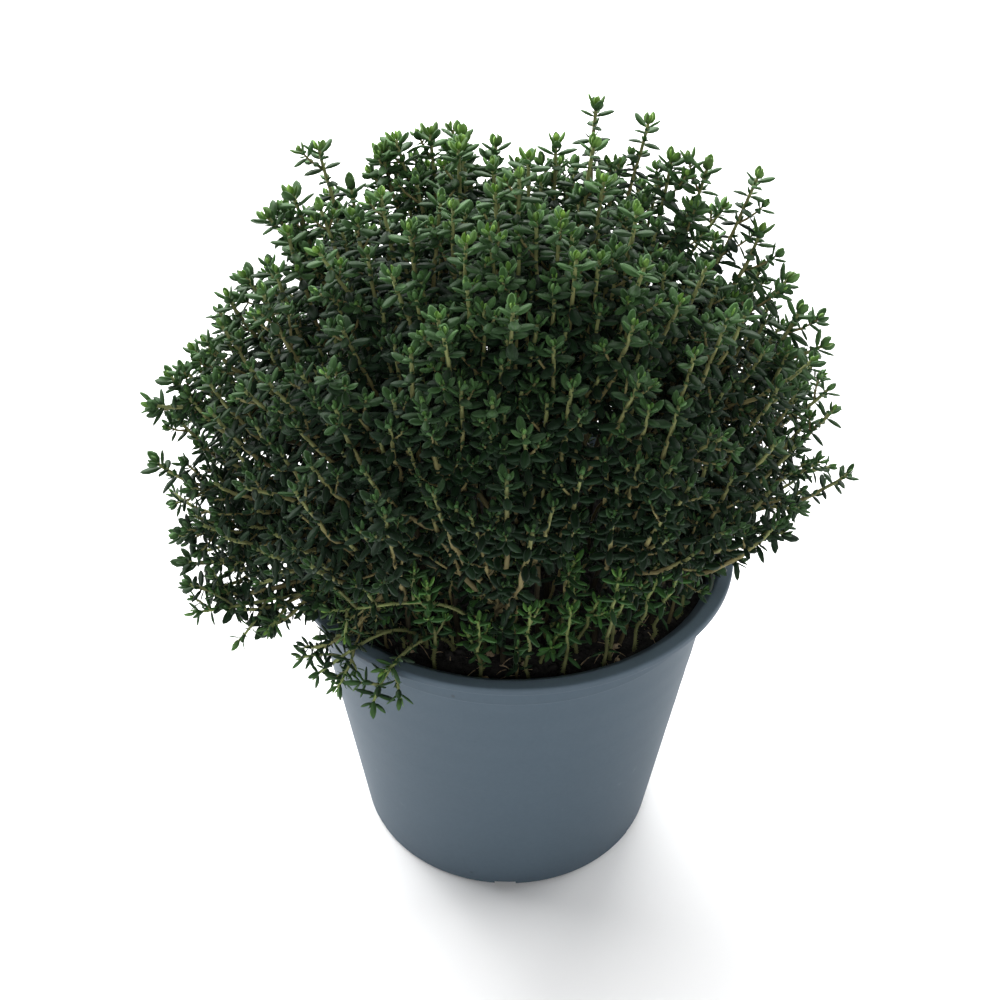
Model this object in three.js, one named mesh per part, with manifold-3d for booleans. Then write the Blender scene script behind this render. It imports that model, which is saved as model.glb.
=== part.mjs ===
// Potted thyme: a bushy thyme plant in a plain round nursery pot filled with peat.
// Millimetres and degrees, +Z up. The origin is the middle of the pot's underside, +X is the
// plant's right and -Y its front. Each stem with its leaves is one solid, standing in the peat.

import * as THREE from 'three';
import { mergeVertices } from 'three/addons/utils/BufferGeometryUtils.js';
import Module from 'manifold-3d';

const wasm = await Module();
wasm.setup();

// Pot
const POT_HEIGHT = 108.6;
const RIM_RADIUS = 70;
const LIP_WIDTH = 3.7;
const LIP_DEPTH = 2.5;
const LIP_BEVEL = 0.6;
const NECK_RADIUS = 64.3;
const COLLAR_DEPTH = 12;
const COLLAR_STEP = 0.5;
const BASE_RADIUS = 50.2;
const BASE_CORNER = 1.6;
const WALL = 1.3;
const FLOOR_TOP = 4.2;
const FOOT_RING = 40;
const FOOT_RISE = 2.5;
const CENTRE_PAD = 16;
const FOOT_SLOPE = 2;
const POT_SIDES = 40;
const DRAIN_COUNT = 6;
const DRAIN_RADIUS = 3.6;
const DRAIN_SIDES = 8;
const NOTCH_WIDTH = 7;
const NOTCH_HEIGHT = 2;

// Peat
const GAP = 0.3;
const SOIL_TOP = POT_HEIGHT - 8;
const SOIL_RINGS = 4;
const LUMP_HEIGHT = 1.1;
const FLAT_EDGE = 1;

// Leafy stems
const LAYOUT_SEED = 11;
const LEAF_SEED = 500;
const STEM_COUNT = 42;
const STEM_DEPTH = 9;
const STEM_BASE_RADIUS = 1.4;
const STEM_TIP_RADIUS = 0.8;
const SHOOT_BASE_RADIUS = 1.0;
const ROOT_SPREAD = 54;
const ROOT_TURN_SPREAD = 6;
const SHOOTS_PER_STEM = 3;
const FAN_ANGLE = 8;
const STEEPEST_FAN = 0.35;
const FORKS = [0.42, 0.56];
const GOLDEN_ANGLE = 137.508;

// How stems bow: a stem rises by its height and its spread before it turns, and a side shoot
// leaves it sideways before it turns up. Lengths are shares of the stem's own.
const RISE_PER_HEIGHT = 0.35;
const RISE_PER_SPREAD = 0.85;
const NECK_SHARE = 0.3;
const TIP_LIFT = 0.35;
const SHOOT_BEND_ALONG = 0.35;
const SHOOT_BEND_ASIDE = 0.12;

// Where the plain stretch of each kind of stem has its rings, as shares of its length
const STEM_BENDS = [0, 0.22];
const SHOOT_BENDS = [0, 0.3];
const YOUNG_BENDS = [0, 0.42];
const RIM_BENDS = [0, 0.15, 0.3, 0.45];

// Dome of foliage
const DOME_BASE = POT_HEIGHT + 21;
const DOME_HEIGHT = 103;
const LOWEST_LEAN = 100;
const FRONT_LEAN_LOSS = 22;
const REACH_SPREAD = 0.12;
const MEAN_SPREAD = 92;
const LEFT_EXTRA = 3.5;
const BACK_EXTRA = 13;
const SIDES_EXTRA = 9;

// Leaves, larger than life so that fewer of them cover the dome
const LEAF_LENGTH = 12;
const LEAF_WIDTH = 5.4;
const LEAF_THICKNESS = 1.3;
const WIDEST = 0.44;
const LEAF_CURL = 1.2;
const NODE_LENGTH = 1.4;
const NODE_SPACING = 11;
const YOUNG_NODE_SPACING = 8;
const NODE_LEANS = [30, 60, 74];
const NODE_SIDES = [[0, 2, 1, 3], [0, 2, 1, 3], [1, 3]];
const CROSS_PAIR_LEAN = 13;
const CROSS_PAIR_SIZE = 0.82;
const SMALLEST_LEAF = 0.9;
const LEAF_SIZE_SPREAD = 0.22;
const LEAF_TURN_SPREAD = 16;

// What a leaf changes each time it would touch another
const MOST_TRIES = 6;
const LEAN_STEP = 5;
const TURN_STEP = 6;
const SHRINK_STEP = 0.95;

// Single tips that stand out of the dome: [azimuth, distance from the axis, height above the rim]
const OUTSTANDING_TIPS = [
  [55, 39, 129],
  [40, 48, 124],
  [25, 60, 114],
  [17, 71, 111],
  [8, 80, 86],
  [-2, 93, 62],
  [-11, 101, 39],
  [-15, 88, 18],
  [110, 36, 120],
  [138, 46, 119],
  [156, 61, 117],
  [163, 72, 102],
  [176, 86, 80],
  [-174, 101, 62],
  [-169, 106, 48],
  [-162, 103, 21],
  [-156, 100, 8],
];

// Short upright young shoots along the front wall: [azimuth, distance from the axis, height],
// and how far they lean outwards for their height
const YOUNG_SPREAD = 0.12;
const YOUNG_SHOOTS = [
  [-62, 58, 36],
  [-74, 57, 26],
  [-85, 58.5, 29],
  [-98, 58, 24],
  [-111, 58, 34],
];

// Low stems that hang over the lip: [root azimuth, root distance], then the way points of the
// stem, each [azimuth, distance, height above the rim]
const RIM_SPRIGS = [
  { root: [-130, 58], over: [-137, 76, 16], tip: [-145, 81, -13] },
  { root: [-105, 57], over: [-112, 75, 20], tip: [-120, 78, -15] },
];

const UP = new THREE.Vector3(0, 0, 1);

const materials = {
  pot: new THREE.MeshStandardMaterial({ color: 0x5b6670, roughness: 0.5, metalness: 0 }),
  soil: new THREE.MeshStandardMaterial({ color: 0x2b2119, roughness: 1, metalness: 0 }),
  foliage: new THREE.MeshStandardMaterial({ color: 0x56683f, roughness: 0.7, metalness: 0 }),
  youngFoliage: new THREE.MeshStandardMaterial({ color: 0x7f9350, roughness: 0.7, metalness: 0 }),
};

// ---------------------------------------------------------------- helpers

function seededRandom(seed) {
  let state = seed;
  return () => {
    state = (state + 0x6d2b79f5) | 0;
    let mixed = Math.imul(state ^ (state >>> 15), 1 | state);
    mixed = (mixed + Math.imul(mixed ^ (mixed >>> 7), 61 | mixed)) ^ mixed;
    return ((mixed ^ (mixed >>> 14)) >>> 0) / 4294967296;
  };
}

function polar(azimuth, distance, height) {
  const angle = THREE.MathUtils.degToRad(azimuth);
  return new THREE.Vector3(distance * Math.cos(angle), distance * Math.sin(angle), height);
}

function toSolid(geometry) {
  const bare = geometry.clone();
  bare.deleteAttribute('normal');
  bare.deleteAttribute('uv');
  const merged = mergeVertices(bare, 1e-4);
  const corners = Array.from(merged.index.array);
  const kept = [];
  for (let i = 0; i < corners.length; i += 3) {
    const [a, b, c] = corners.slice(i, i + 3);
    if (a !== b && b !== c && c !== a) kept.push(a, b, c);
  }
  const vertProperties = new Float32Array(merged.attributes.position.array);
  const triVerts = new Uint32Array(kept);
  return new wasm.Manifold(new wasm.Mesh({ numProp: 3, vertProperties, triVerts }));
}

// The triangles of the largest closed skin: a hollow sealed by joining is filled that way, and a
// loose scrap is dropped.
function largestSkin(triVerts) {
  const leader = Array.from({ length: Math.max(...triVerts) + 1 }, (_, i) => i);
  const find = (corner) => {
    while (leader[corner] !== corner) corner = leader[corner];
    return corner;
  };
  for (let i = 0; i < triVerts.length; i += 3) {
    leader[find(triVerts[i + 1])] = find(triVerts[i]);
    leader[find(triVerts[i + 2])] = find(triVerts[i]);
  }
  const skins = new Map();
  for (let i = 0; i < triVerts.length; i += 3) {
    const skin = find(triVerts[i]);
    if (!skins.has(skin)) skins.set(skin, []);
    skins.get(skin).push(...triVerts.slice(i, i + 3));
  }
  return [...skins.values()].sort((a, b) => b.length - a.length)[0];
}

function toMesh(name, solid, material) {
  const { vertProperties, triVerts } = solid.getMesh();
  const geometry = new THREE.BufferGeometry();
  geometry.setAttribute('position', new THREE.Float32BufferAttribute(vertProperties, 3));
  geometry.setIndex(largestSkin(triVerts));
  geometry.computeVertexNormals();
  const mesh = new THREE.Mesh(geometry, material);
  mesh.name = name;
  return mesh;
}

function lathe(profile) {
  const points = profile.map(([radius, height]) => new THREE.Vector2(radius, height));
  return new THREE.LatheGeometry(points, POT_SIDES).rotateX(Math.PI / 2);
}

// ---------------------------------------------------------------- pot

function makePot() {
  const collar = POT_HEIGHT - COLLAR_DEPTH;
  const lipUnderside = POT_HEIGHT - LIP_DEPTH;
  const wallTop = NECK_RADIUS - COLLAR_STEP;
  const profile = [
    [0, 0],
    [CENTRE_PAD, 0],
    [CENTRE_PAD + FOOT_SLOPE, FOOT_RISE],
    [FOOT_RING - FOOT_SLOPE, FOOT_RISE],
    [FOOT_RING, 0],
    [BASE_RADIUS - BASE_CORNER, 0],
    [BASE_RADIUS, BASE_CORNER],
    [wallTop, collar],
    [NECK_RADIUS, collar + COLLAR_STEP],
    [NECK_RADIUS, lipUnderside],
    [RIM_RADIUS, lipUnderside],
    [RIM_RADIUS, POT_HEIGHT - LIP_BEVEL],
    [RIM_RADIUS - LIP_BEVEL, POT_HEIGHT],
    [RIM_RADIUS - LIP_WIDTH, POT_HEIGHT],
    [NECK_RADIUS - WALL, lipUnderside],
    [BASE_RADIUS - WALL, FLOOR_TOP],
    [0, FLOOR_TOP],
  ];
  let pot = toSolid(lathe(profile));
  const drainDistance = (CENTRE_PAD + FOOT_RING) / 2;
  for (let i = 0; i < DRAIN_COUNT; i++) {
    const azimuth = (360 * i) / DRAIN_COUNT;
    const drain = new THREE.CylinderGeometry(DRAIN_RADIUS, DRAIN_RADIUS, 2 * FLOOR_TOP, DRAIN_SIDES);
    drain.rotateX(Math.PI / 2);
    drain.translate(drainDistance, 0, FLOOR_TOP);
    drain.rotateZ(THREE.MathUtils.degToRad(azimuth));
    pot = pot.subtract(toSolid(drain));
    const ringWidth = BASE_RADIUS - FOOT_RING + 2 * FOOT_SLOPE;
    const notch = new THREE.BoxGeometry(ringWidth, NOTCH_WIDTH, 2 * NOTCH_HEIGHT);
    notch.translate((BASE_RADIUS + FOOT_RING) / 2, 0, 0);
    notch.rotateZ(THREE.MathUtils.degToRad(azimuth + 180 / DRAIN_COUNT));
    pot = pot.subtract(toSolid(notch));
  }
  return pot;
}

// ---------------------------------------------------------------- peat

function soilHeight(x, y) {
  const broad = Math.sin(x / 9 + 1) * Math.cos(y / 7);
  const small = Math.sin(x / 3.7 + y / 5.1) * Math.cos(x / 6.3 - y / 3.1 + 2);
  return SOIL_TOP + LUMP_HEIGHT * (0.6 * broad + 0.5 * small);
}

function innerWallRadius(height) {
  const lipUnderside = POT_HEIGHT - LIP_DEPTH;
  const share = (height - FLOOR_TOP) / (lipUnderside - FLOOR_TOP);
  return THREE.MathUtils.lerp(BASE_RADIUS, NECK_RADIUS, share) - WALL;
}

function makeSoil(stemHoles) {
  const bottom = FLOOR_TOP + GAP;
  const edge = innerWallRadius(SOIL_TOP) - GAP;
  const profile = [
    [0, bottom],
    [innerWallRadius(bottom) - GAP, bottom],
  ];
  for (let ring = SOIL_RINGS; ring >= 0; ring--) {
    profile.push([(edge * ring) / SOIL_RINGS, SOIL_TOP]);
  }
  const geometry = lathe(profile);
  const position = geometry.attributes.position;
  for (let i = 0; i < position.count; i++) {
    const x = position.getX(i);
    const y = position.getY(i);
    const onTop = position.getZ(i) > SOIL_TOP - GAP;
    const inside = Math.hypot(x, y) < edge - FLAT_EDGE;
    if (onTop && inside) position.setZ(i, soilHeight(x, y));
  }
  return stemHoles.reduce((soil, hole) => soil.subtract(hole), toSolid(geometry));
}

// ---------------------------------------------------------------- layout of the plant

// How far the dome spreads at each side: least in front, most at the left.
function domeSpread(azimuth) {
  const angle = THREE.MathUtils.degToRad(azimuth);
  const lopsided = BACK_EXTRA * Math.sin(angle) - LEFT_EXTRA * Math.cos(angle);
  return MEAN_SPREAD + lopsided + SIDES_EXTRA * Math.cos(2 * angle);
}

function lowestLean(azimuth) {
  const towardsFront = Math.max(0, -Math.sin(THREE.MathUtils.degToRad(azimuth)));
  return LOWEST_LEAN - FRONT_LEAN_LOSS * towardsFront ** 2;
}

function domePoint(lean, azimuth, reach) {
  const angle = THREE.MathUtils.degToRad(lean);
  const distance = reach * domeSpread(azimuth) * Math.sin(angle);
  return polar(azimuth, distance, DOME_BASE + reach * DOME_HEIGHT * Math.cos(angle));
}

// Stems stand in the peat in a sunflower pattern, and the further out a stem stands, the further
// it leans, so that the stems fan out and don't cross. Each has tips round its own direction.
function planStems() {
  const random = seededRandom(LAYOUT_SEED);
  const stems = [];
  for (let i = 0; i < STEM_COUNT; i++) {
    const share = (i + 0.5) / STEM_COUNT;
    const azimuth = i * GOLDEN_ANGLE + ROOT_TURN_SPREAD * (random() - 0.5);
    const root = polar(azimuth, ROOT_SPREAD * Math.sqrt(share), SOIL_TOP - STEM_DEPTH);
    const lowest = THREE.MathUtils.degToRad(lowestLean(azimuth));
    const lean = THREE.MathUtils.radToDeg(Math.acos(1 - (1 - Math.cos(lowest)) * share));
    const turnStart = 360 * random();
    const tips = [];
    for (let k = 0; k < SHOOTS_PER_STEM; k++) {
      const turn = THREE.MathUtils.degToRad(turnStart + (360 * k) / SHOOTS_PER_STEM);
      const sideways = Math.max(STEEPEST_FAN, Math.sin(THREE.MathUtils.degToRad(lean)));
      const tipAzimuth = azimuth + (FAN_ANGLE * Math.sin(turn)) / sideways;
      const reach = 1 + REACH_SPREAD * (random() - 0.5);
      tips.push(domePoint(lean + FAN_ANGLE * Math.cos(turn), tipAzimuth, reach));
    }
    stems.push({ root, tips });
  }
  placeOutstandingTips(stems);
  return stems;
}

// Each outstanding tip takes the place of the nearest ordinary one.
function placeOutstandingTips(stems) {
  const taken = new Set();
  for (const [azimuth, distance, height] of OUTSTANDING_TIPS) {
    const wanted = polar(azimuth, distance, POT_HEIGHT + height);
    const free = stems.flatMap((stem) => stem.tips).filter((tip) => !taken.has(tip));
    free.sort((a, b) => a.distanceTo(wanted) - b.distanceTo(wanted));
    free[0].copy(wanted);
    taken.add(free[0]);
  }
}

// A stem rises straight out of the peat and then bows outwards to its tip.
function mainCurve(root, tip) {
  const spread = Math.hypot(tip.x - root.x, tip.y - root.y);
  const rise = RISE_PER_HEIGHT * (tip.z - root.z) + RISE_PER_SPREAD * spread;
  const knee = root.clone().addScaledVector(UP, rise);
  const chord = tip.clone().sub(knee);
  const neckLength = NECK_SHARE * chord.length();
  const tipWay = chord.normalize().addScaledVector(UP, TIP_LIFT).normalize();
  const neck = tip.clone().addScaledVector(tipWay, -neckLength);
  return new THREE.CubicBezierCurve3(root, knee, neck, tip);
}

// ---------------------------------------------------------------- stems and leaves

// The direction square to the plane that a curve lies in.
function sideOf(curve) {
  const start = curve.getTangentAt(0);
  const side = new THREE.Vector3().crossVectors(start, curve.getTangentAt(1));
  if (side.length() < 0.02) side.crossVectors(start, new THREE.Vector3(0.6, 0.8, 0));
  return side.normalize();
}

// The direction that points out from a curve at an angle about it.
function outwardAt(curve, share, angle) {
  const axis = curve.getTangentAt(share);
  return sideOf(curve).applyAxisAngle(axis, THREE.MathUtils.degToRad(angle));
}

function meshBuilder() {
  const points = [];
  const triangles = [];
  return {
    point({ x, y, z }) {
      points.push(x, y, z);
      return points.length / 3 - 1;
    },
    face(first, ...others) {
      for (let i = 1; i < others.length; i++) triangles.push(first, others[i - 1], others[i]);
    },
    geometry() {
      const geometry = new THREE.BufferGeometry();
      geometry.setAttribute('position', new THREE.Float32BufferAttribute(points, 3));
      return geometry.setIndex(triangles);
    },
  };
}

// The five free corners of a blade. Its foot is on a stem; its sides and its tip turn down a
// little. margin makes it larger all round.
function bladeCorners({ foot, along, across, upper, size }, margin) {
  const middle = foot.clone().addScaledVector(along, WIDEST * size * LEAF_LENGTH);
  const halfWidth = (size * LEAF_WIDTH) / 2 + margin;
  const halfThickness = LEAF_THICKNESS / 2 + margin;
  const edge = middle.clone().addScaledVector(upper, -0.3 * LEAF_CURL);
  return {
    left: edge.clone().addScaledVector(across, -halfWidth),
    right: edge.clone().addScaledVector(across, halfWidth),
    top: middle.clone().addScaledVector(upper, halfThickness),
    bottom: middle.clone().addScaledVector(upper, -halfThickness),
    tip: foot
      .clone()
      .addScaledVector(along, size * LEAF_LENGTH + margin)
      .addScaledVector(upper, -LEAF_CURL),
  };
}

// Grows a blade out of the stem's face a-b-c-d, which is seen from outside with the tip of the
// stem upwards: a is its lower left corner and b its lower right one.
function growBlade(mesh, [a, b, c, d], blade, margin) {
  const corners = bladeCorners(blade, margin);
  const left = mesh.point(corners.left);
  const right = mesh.point(corners.right);
  const top = mesh.point(corners.top);
  const bottom = mesh.point(corners.bottom);
  const tip = mesh.point(corners.tip);
  mesh.face(a, b, bottom);
  mesh.face(a, bottom, left);
  mesh.face(b, right, bottom);
  mesh.face(a, left, d);
  mesh.face(b, c, right);
  mesh.face(d, top, c);
  mesh.face(d, left, top);
  mesh.face(c, top, right);
  mesh.face(left, bottom, tip);
  mesh.face(right, tip, bottom);
  mesh.face(left, tip, top);
  mesh.face(right, top, tip);
}

function radiusAt({ startRadius, endRadius }, share) {
  return THREE.MathUtils.lerp(startRadius, endRadius, share);
}

// The middle of one of a stem's four faces.
function faceMiddle(stem, share, side) {
  const outward = outwardAt(stem.curve, share, stem.roll + 90 * side);
  return stem.curve.getPointAt(share).addScaledVector(outward, radiusAt(stem, share) * Math.SQRT1_2);
}

function cornerPoint(stem, share, corner) {
  const outward = outwardAt(stem.curve, share, stem.roll + 90 * corner - 45);
  return stem.curve.getPointAt(share).addScaledVector(outward, radiusAt(stem, share));
}

// The rings of a stem from its foot up: one at each bend, two at each node, and one at its tip.
function stemRings({ curve, bends, nodes }) {
  const half = NODE_LENGTH / 2 / curve.getLength();
  const rings = bends.map((share) => ({ share }));
  for (const node of nodes) {
    rings.push({ share: node.share - half, node });
    rings.push({ share: Math.min(1, node.share + half) });
  }
  const top = Math.max(...rings.map((ring) => ring.share));
  if (top < 1) rings.push({ share: 1 });
  return rings.sort((a, b) => a.share - b.share);
}

// Grows a square, tapering stem along its curve. At a node, a leaf or a side shoot grows out of
// a face. A side shoot's first ring is the face that it grows from.
function growStem(mesh, stem, firstRing) {
  const rings = stemRings(stem);
  const cornersAt = (share) =>
    [0, 1, 2, 3].map((corner) => mesh.point(cornerPoint(stem, share, corner)));
  let low = firstRing ?? cornersAt(0);
  if (!firstRing) mesh.face(...[...low].reverse());
  for (let i = 1; i < rings.length; i++) {
    const high = cornersAt(rings[i].share);
    for (let side = 0; side < 4; side++) {
      const next = (side + 1) % 4;
      const quad = [low[side], low[next], high[next], high[side]];
      const grown = rings[i - 1].node?.sides[side];
      if (grown?.curve) growStem(mesh, grown, quad);
      else if (grown) growBlade(mesh, quad, grown, 0);
      else mesh.face(...quad);
    }
    low = high;
  }
  mesh.face(...low);
}

function stemGeometry(stem) {
  const mesh = meshBuilder();
  growStem(mesh, stem);
  return mesh.geometry();
}

// A blade by itself, closed at its foot, for finding what it would touch.
function looseBlade(blade, margin) {
  const { foot, across, along, upper } = blade;
  const mesh = meshBuilder();
  const half = 0.3 * NODE_LENGTH;
  const start = foot.clone().addScaledVector(along, half);
  const footCorners = [
    [-half, -half],
    [half, -half],
    [half, half],
    [-half, half],
  ].map(([x, y]) => {
    const corner = start.clone().addScaledVector(across, x).addScaledVector(upper, y);
    return mesh.point(corner);
  });
  mesh.face(...[...footCorners].reverse());
  growBlade(mesh, footCorners, blade, margin);
  return mesh.geometry();
}

// Solids already placed, each with the stem that owns it and the ball that holds it.
const placed = [];

function remember(owner, geometry) {
  geometry.computeBoundingSphere();
  placed.push({ owner, solid: toSolid(geometry), ball: geometry.boundingSphere.clone() });
}

function isClear(owner, geometry) {
  geometry.computeBoundingSphere();
  const ball = geometry.boundingSphere;
  const near = placed.filter((other) => other.owner !== owner && other.ball.intersectsSphere(ball));
  if (near.length === 0) return true;
  const solid = toSolid(geometry);
  return near.every((other) => solid.intersect(other.solid).getMesh().triVerts.length === 0);
}

function makeBlade(stem, share, side, turn, lean, size) {
  const axis = stem.curve.getTangentAt(share);
  const outward = outwardAt(stem.curve, share, stem.roll + 90 * side + turn);
  const angle = THREE.MathUtils.degToRad(lean);
  const along = axis.clone().multiplyScalar(Math.cos(angle)).addScaledVector(outward, Math.sin(angle));
  const upper = axis.clone().multiplyScalar(Math.sin(angle)).addScaledVector(outward, -Math.cos(angle));
  const across = new THREE.Vector3().crossVectors(upper, along);
  return { foot: faceMiddle(stem, share, side), along, upper, across, size };
}

// Leaves stand in opposite pairs. The upper nodes carry two pairs across each other, and a third
// node one pair. A leaf that would touch another stem or its leaves is raised, turned and
// shortened, and left out if it still does.
function growLeaves(stem, nodeCount, spacing, random) {
  const length = stem.curve.getLength();
  for (let i = 0; i < nodeCount; i++) {
    const share = 1 - (NODE_LENGTH / 2 + i * spacing) / length;
    const sides = {};
    for (const side of NODE_SIDES[i]) {
      const crossPair = NODE_SIDES[i].indexOf(side) > 1;
      const fullSize = (crossPair ? CROSS_PAIR_SIZE : 1) * (SMALLEST_LEAF + LEAF_SIZE_SPREAD * random());
      const firstTurn = LEAF_TURN_SPREAD * (random() - 0.5);
      const firstLean = NODE_LEANS[i] + (crossPair ? CROSS_PAIR_LEAN : 0);
      for (let tries = 0; tries < MOST_TRIES && !sides[side]; tries++) {
        const turn = firstTurn + (tries % 2 ? TURN_STEP : -TURN_STEP) * tries;
        const size = fullSize * SHRINK_STEP ** tries;
        const blade = makeBlade(stem, share, side, turn, firstLean - LEAN_STEP * tries, size);
        if (isClear(stem, looseBlade(blade, GAP))) sides[side] = blade;
      }
      if (sides[side]) remember(stem, looseBlade(sides[side], 0));
    }
    stem.nodes.push({ share, sides });
  }
}

// ---------------------------------------------------------------- assembly

// The angle about a curve at which a direction points away from it.
function angleAbout(curve, share, direction) {
  const side = sideOf(curve);
  const across = new THREE.Vector3().crossVectors(curve.getTangentAt(share), side);
  return THREE.MathUtils.radToDeg(Math.atan2(direction.dot(across), direction.dot(side)));
}

// The way from a curve to a tip, square to the curve.
function aside(curve, share, tip) {
  const axis = curve.getTangentAt(share);
  const way = tip.clone().sub(curve.getPointAt(share));
  return way.addScaledVector(axis, -way.dot(axis)).normalize();
}

// A side shoot leaves a face of the stem at an angle and then turns up towards its tip.
function addSideShoot(main, share, tip) {
  const way = aside(main.curve, share, tip);
  const quarterTurns = Math.round((angleAbout(main.curve, share, way) - main.roll) / 90);
  const side = ((quarterTurns % 4) + 4) % 4;
  const start = faceMiddle(main, share, side);
  const chord = tip.clone().sub(start);
  const bend = start.clone().addScaledVector(chord, SHOOT_BEND_ALONG);
  bend.addScaledVector(way, SHOOT_BEND_ASIDE * chord.length());
  const curve = new THREE.QuadraticBezierCurve3(start, bend, tip);
  const lowShare = share - NODE_LENGTH / 2 / main.curve.getLength();
  const footCorner = cornerPoint(main, lowShare, side).sub(start);
  const shoot = {
    curve,
    roll: angleAbout(curve, 0, footCorner) + 45,
    startRadius: SHOOT_BASE_RADIUS,
    endRadius: STEM_TIP_RADIUS,
    bends: SHOOT_BENDS,
    nodes: [],
  };
  main.nodes.push({ share, sides: { [side]: shoot } });
  return shoot;
}

const plant = [];
const stemHoles = [];

// Plans one plant piece: its main stem, the hole for it in the peat, and its side shoots.
function addPiece(name, material, curve, bends, sideTips, nodeCounts, spacing = NODE_SPACING) {
  const main = {
    curve,
    roll: sideTips.length ? angleAbout(curve, FORKS[0], aside(curve, FORKS[0], sideTips[0])) : 0,
    startRadius: STEM_BASE_RADIUS,
    endRadius: STEM_TIP_RADIUS,
    bends,
    nodes: [],
  };
  const clearance = GAP * Math.SQRT2;
  const hole = { ...main, startRadius: main.startRadius + clearance };
  hole.endRadius += clearance;
  stemHoles.push(toSolid(stemGeometry(hole).translate(0, 0, -GAP)));
  remember(main, stemGeometry(main));
  const shoots = sideTips.map((tip, k) => addSideShoot(main, FORKS[k], tip));
  for (const shoot of shoots) remember(shoot, stemGeometry(shoot));
  plant.push({ name, material, stems: [main, ...shoots], nodeCounts, spacing });
}

planStems().forEach(({ root, tips }, i) => {
  const name = `leafy_stem_${String(i + 1).padStart(2, '0')}`;
  const curve = mainCurve(root, tips[0]);
  addPiece(name, materials.foliage, curve, STEM_BENDS, tips.slice(1), [3, 1, 1]);
});

YOUNG_SHOOTS.forEach(([azimuth, distance, height], i) => {
  const root = polar(azimuth, distance, SOIL_TOP - STEM_DEPTH);
  const tip = polar(azimuth, distance + YOUNG_SPREAD * height, SOIL_TOP + height);
  const curve = mainCurve(root, tip);
  const name = `young_shoot_${i + 1}`;
  addPiece(name, materials.youngFoliage, curve, YOUNG_BENDS, [], [2], YOUNG_NODE_SPACING);
});

RIM_SPRIGS.forEach(({ root, over, tip }, i) => {
  const start = polar(root[0], root[1], SOIL_TOP - STEM_DEPTH);
  const knee = polar(root[0], root[1], SOIL_TOP + STEM_DEPTH + over[2]);
  const crest = polar(over[0], over[1], POT_HEIGHT + over[2]);
  const end = polar(tip[0], tip[1], POT_HEIGHT + tip[2]);
  const curve = new THREE.CubicBezierCurve3(start, knee, crest, end);
  addPiece(`rim_sprig_${i + 1}`, materials.foliage, curve, RIM_BENDS, [], [2]);
});

const pot = makePot();
const soil = makeSoil(stemHoles);
const wholeBall = new THREE.Sphere(new THREE.Vector3(0, 0, 0), 2 * POT_HEIGHT);
placed.push({ owner: null, solid: pot, ball: wholeBall });
placed.push({ owner: null, solid: soil, ball: wholeBall });

const pottedThyme = new THREE.Group();
pottedThyme.add(toMesh('pot', pot, materials.pot));
pottedThyme.add(toMesh('soil', soil, materials.soil));
plant.forEach(({ name, material, stems, nodeCounts, spacing }, i) => {
  const random = seededRandom(LEAF_SEED + i);
  stems.forEach((stem, k) => growLeaves(stem, nodeCounts[k], spacing, random));
  pottedThyme.add(toMesh(name, toSolid(stemGeometry(stems[0])), material));
});

export default pottedThyme;
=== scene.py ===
from math import acos, atan2, cos, degrees, hypot, pi, radians, sin, sqrt, tau

import bpy
import numpy as np
from mathutils import Matrix, Vector
from numpy.linalg import norm


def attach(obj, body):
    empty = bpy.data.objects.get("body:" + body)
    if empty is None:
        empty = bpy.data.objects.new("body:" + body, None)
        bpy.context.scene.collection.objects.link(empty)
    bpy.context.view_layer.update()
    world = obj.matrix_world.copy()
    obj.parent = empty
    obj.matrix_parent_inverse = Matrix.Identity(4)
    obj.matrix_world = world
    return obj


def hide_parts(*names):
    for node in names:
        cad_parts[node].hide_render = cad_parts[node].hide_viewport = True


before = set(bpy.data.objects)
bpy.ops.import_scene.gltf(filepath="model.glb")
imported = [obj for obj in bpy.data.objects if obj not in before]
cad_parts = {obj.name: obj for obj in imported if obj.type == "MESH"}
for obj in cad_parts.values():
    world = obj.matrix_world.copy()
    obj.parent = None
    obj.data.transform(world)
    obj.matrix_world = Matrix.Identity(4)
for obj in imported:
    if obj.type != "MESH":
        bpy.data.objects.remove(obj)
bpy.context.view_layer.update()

# Lengths are millimetres and angles degrees until a mesh is made, in metres. +Z is up, the
# camera looks roughly along +Y, and the origin is the middle of the pot's underside.
MM = 0.001
WORD = 0xFFFFFFFF
DRAW_STEP = 0x6D2B79F5
UP = np.array([0.0, 0.0, 1.0])

# ---- sizes shared with the solids

POT_HEIGHT = 108.6
RIM_RADIUS = 70.0
LIP_WIDTH = 3.7
LIP_DEPTH = 2.5
NECK_RADIUS = 64.3
COLLAR_DEPTH = 12.0
COLLAR_STEP = 0.5
BASE_RADIUS = 50.2
BASE_CORNER = 1.6
WALL = 1.3
FLOOR_TOP = 4.2
FOOT_RING = 40.0
FOOT_RISE = 2.5
CENTRE_PAD = 16.0
FOOT_SLOPE = 2.0
DRAIN_COUNT = 6
DRAIN_RADIUS = 3.6
NOTCH_WIDTH = 7.0
NOTCH_HEIGHT = 2.0

GAP = 0.3
SOIL_TOP = POT_HEIGHT - 8
LUMP_HEIGHT = 1.1

LAYOUT_SEED = 11
STEM_COUNT = 42
STEM_DEPTH = 9.0
ROOT_SPREAD = 54.0
ROOT_TURN_SPREAD = 6.0
SHOOTS_PER_STEM = 3
FAN_ANGLE = 8.0
STEEPEST_FAN = 0.35
FORKS = [0.42, 0.56]
GOLDEN_ANGLE = 137.508
RISE_PER_HEIGHT = 0.35
RISE_PER_SPREAD = 0.85
NECK_SHARE = 0.3
TIP_LIFT = 0.35
BRANCH_BEND_ALONG = 0.35
BRANCH_BEND_ASIDE = 0.12

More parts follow.
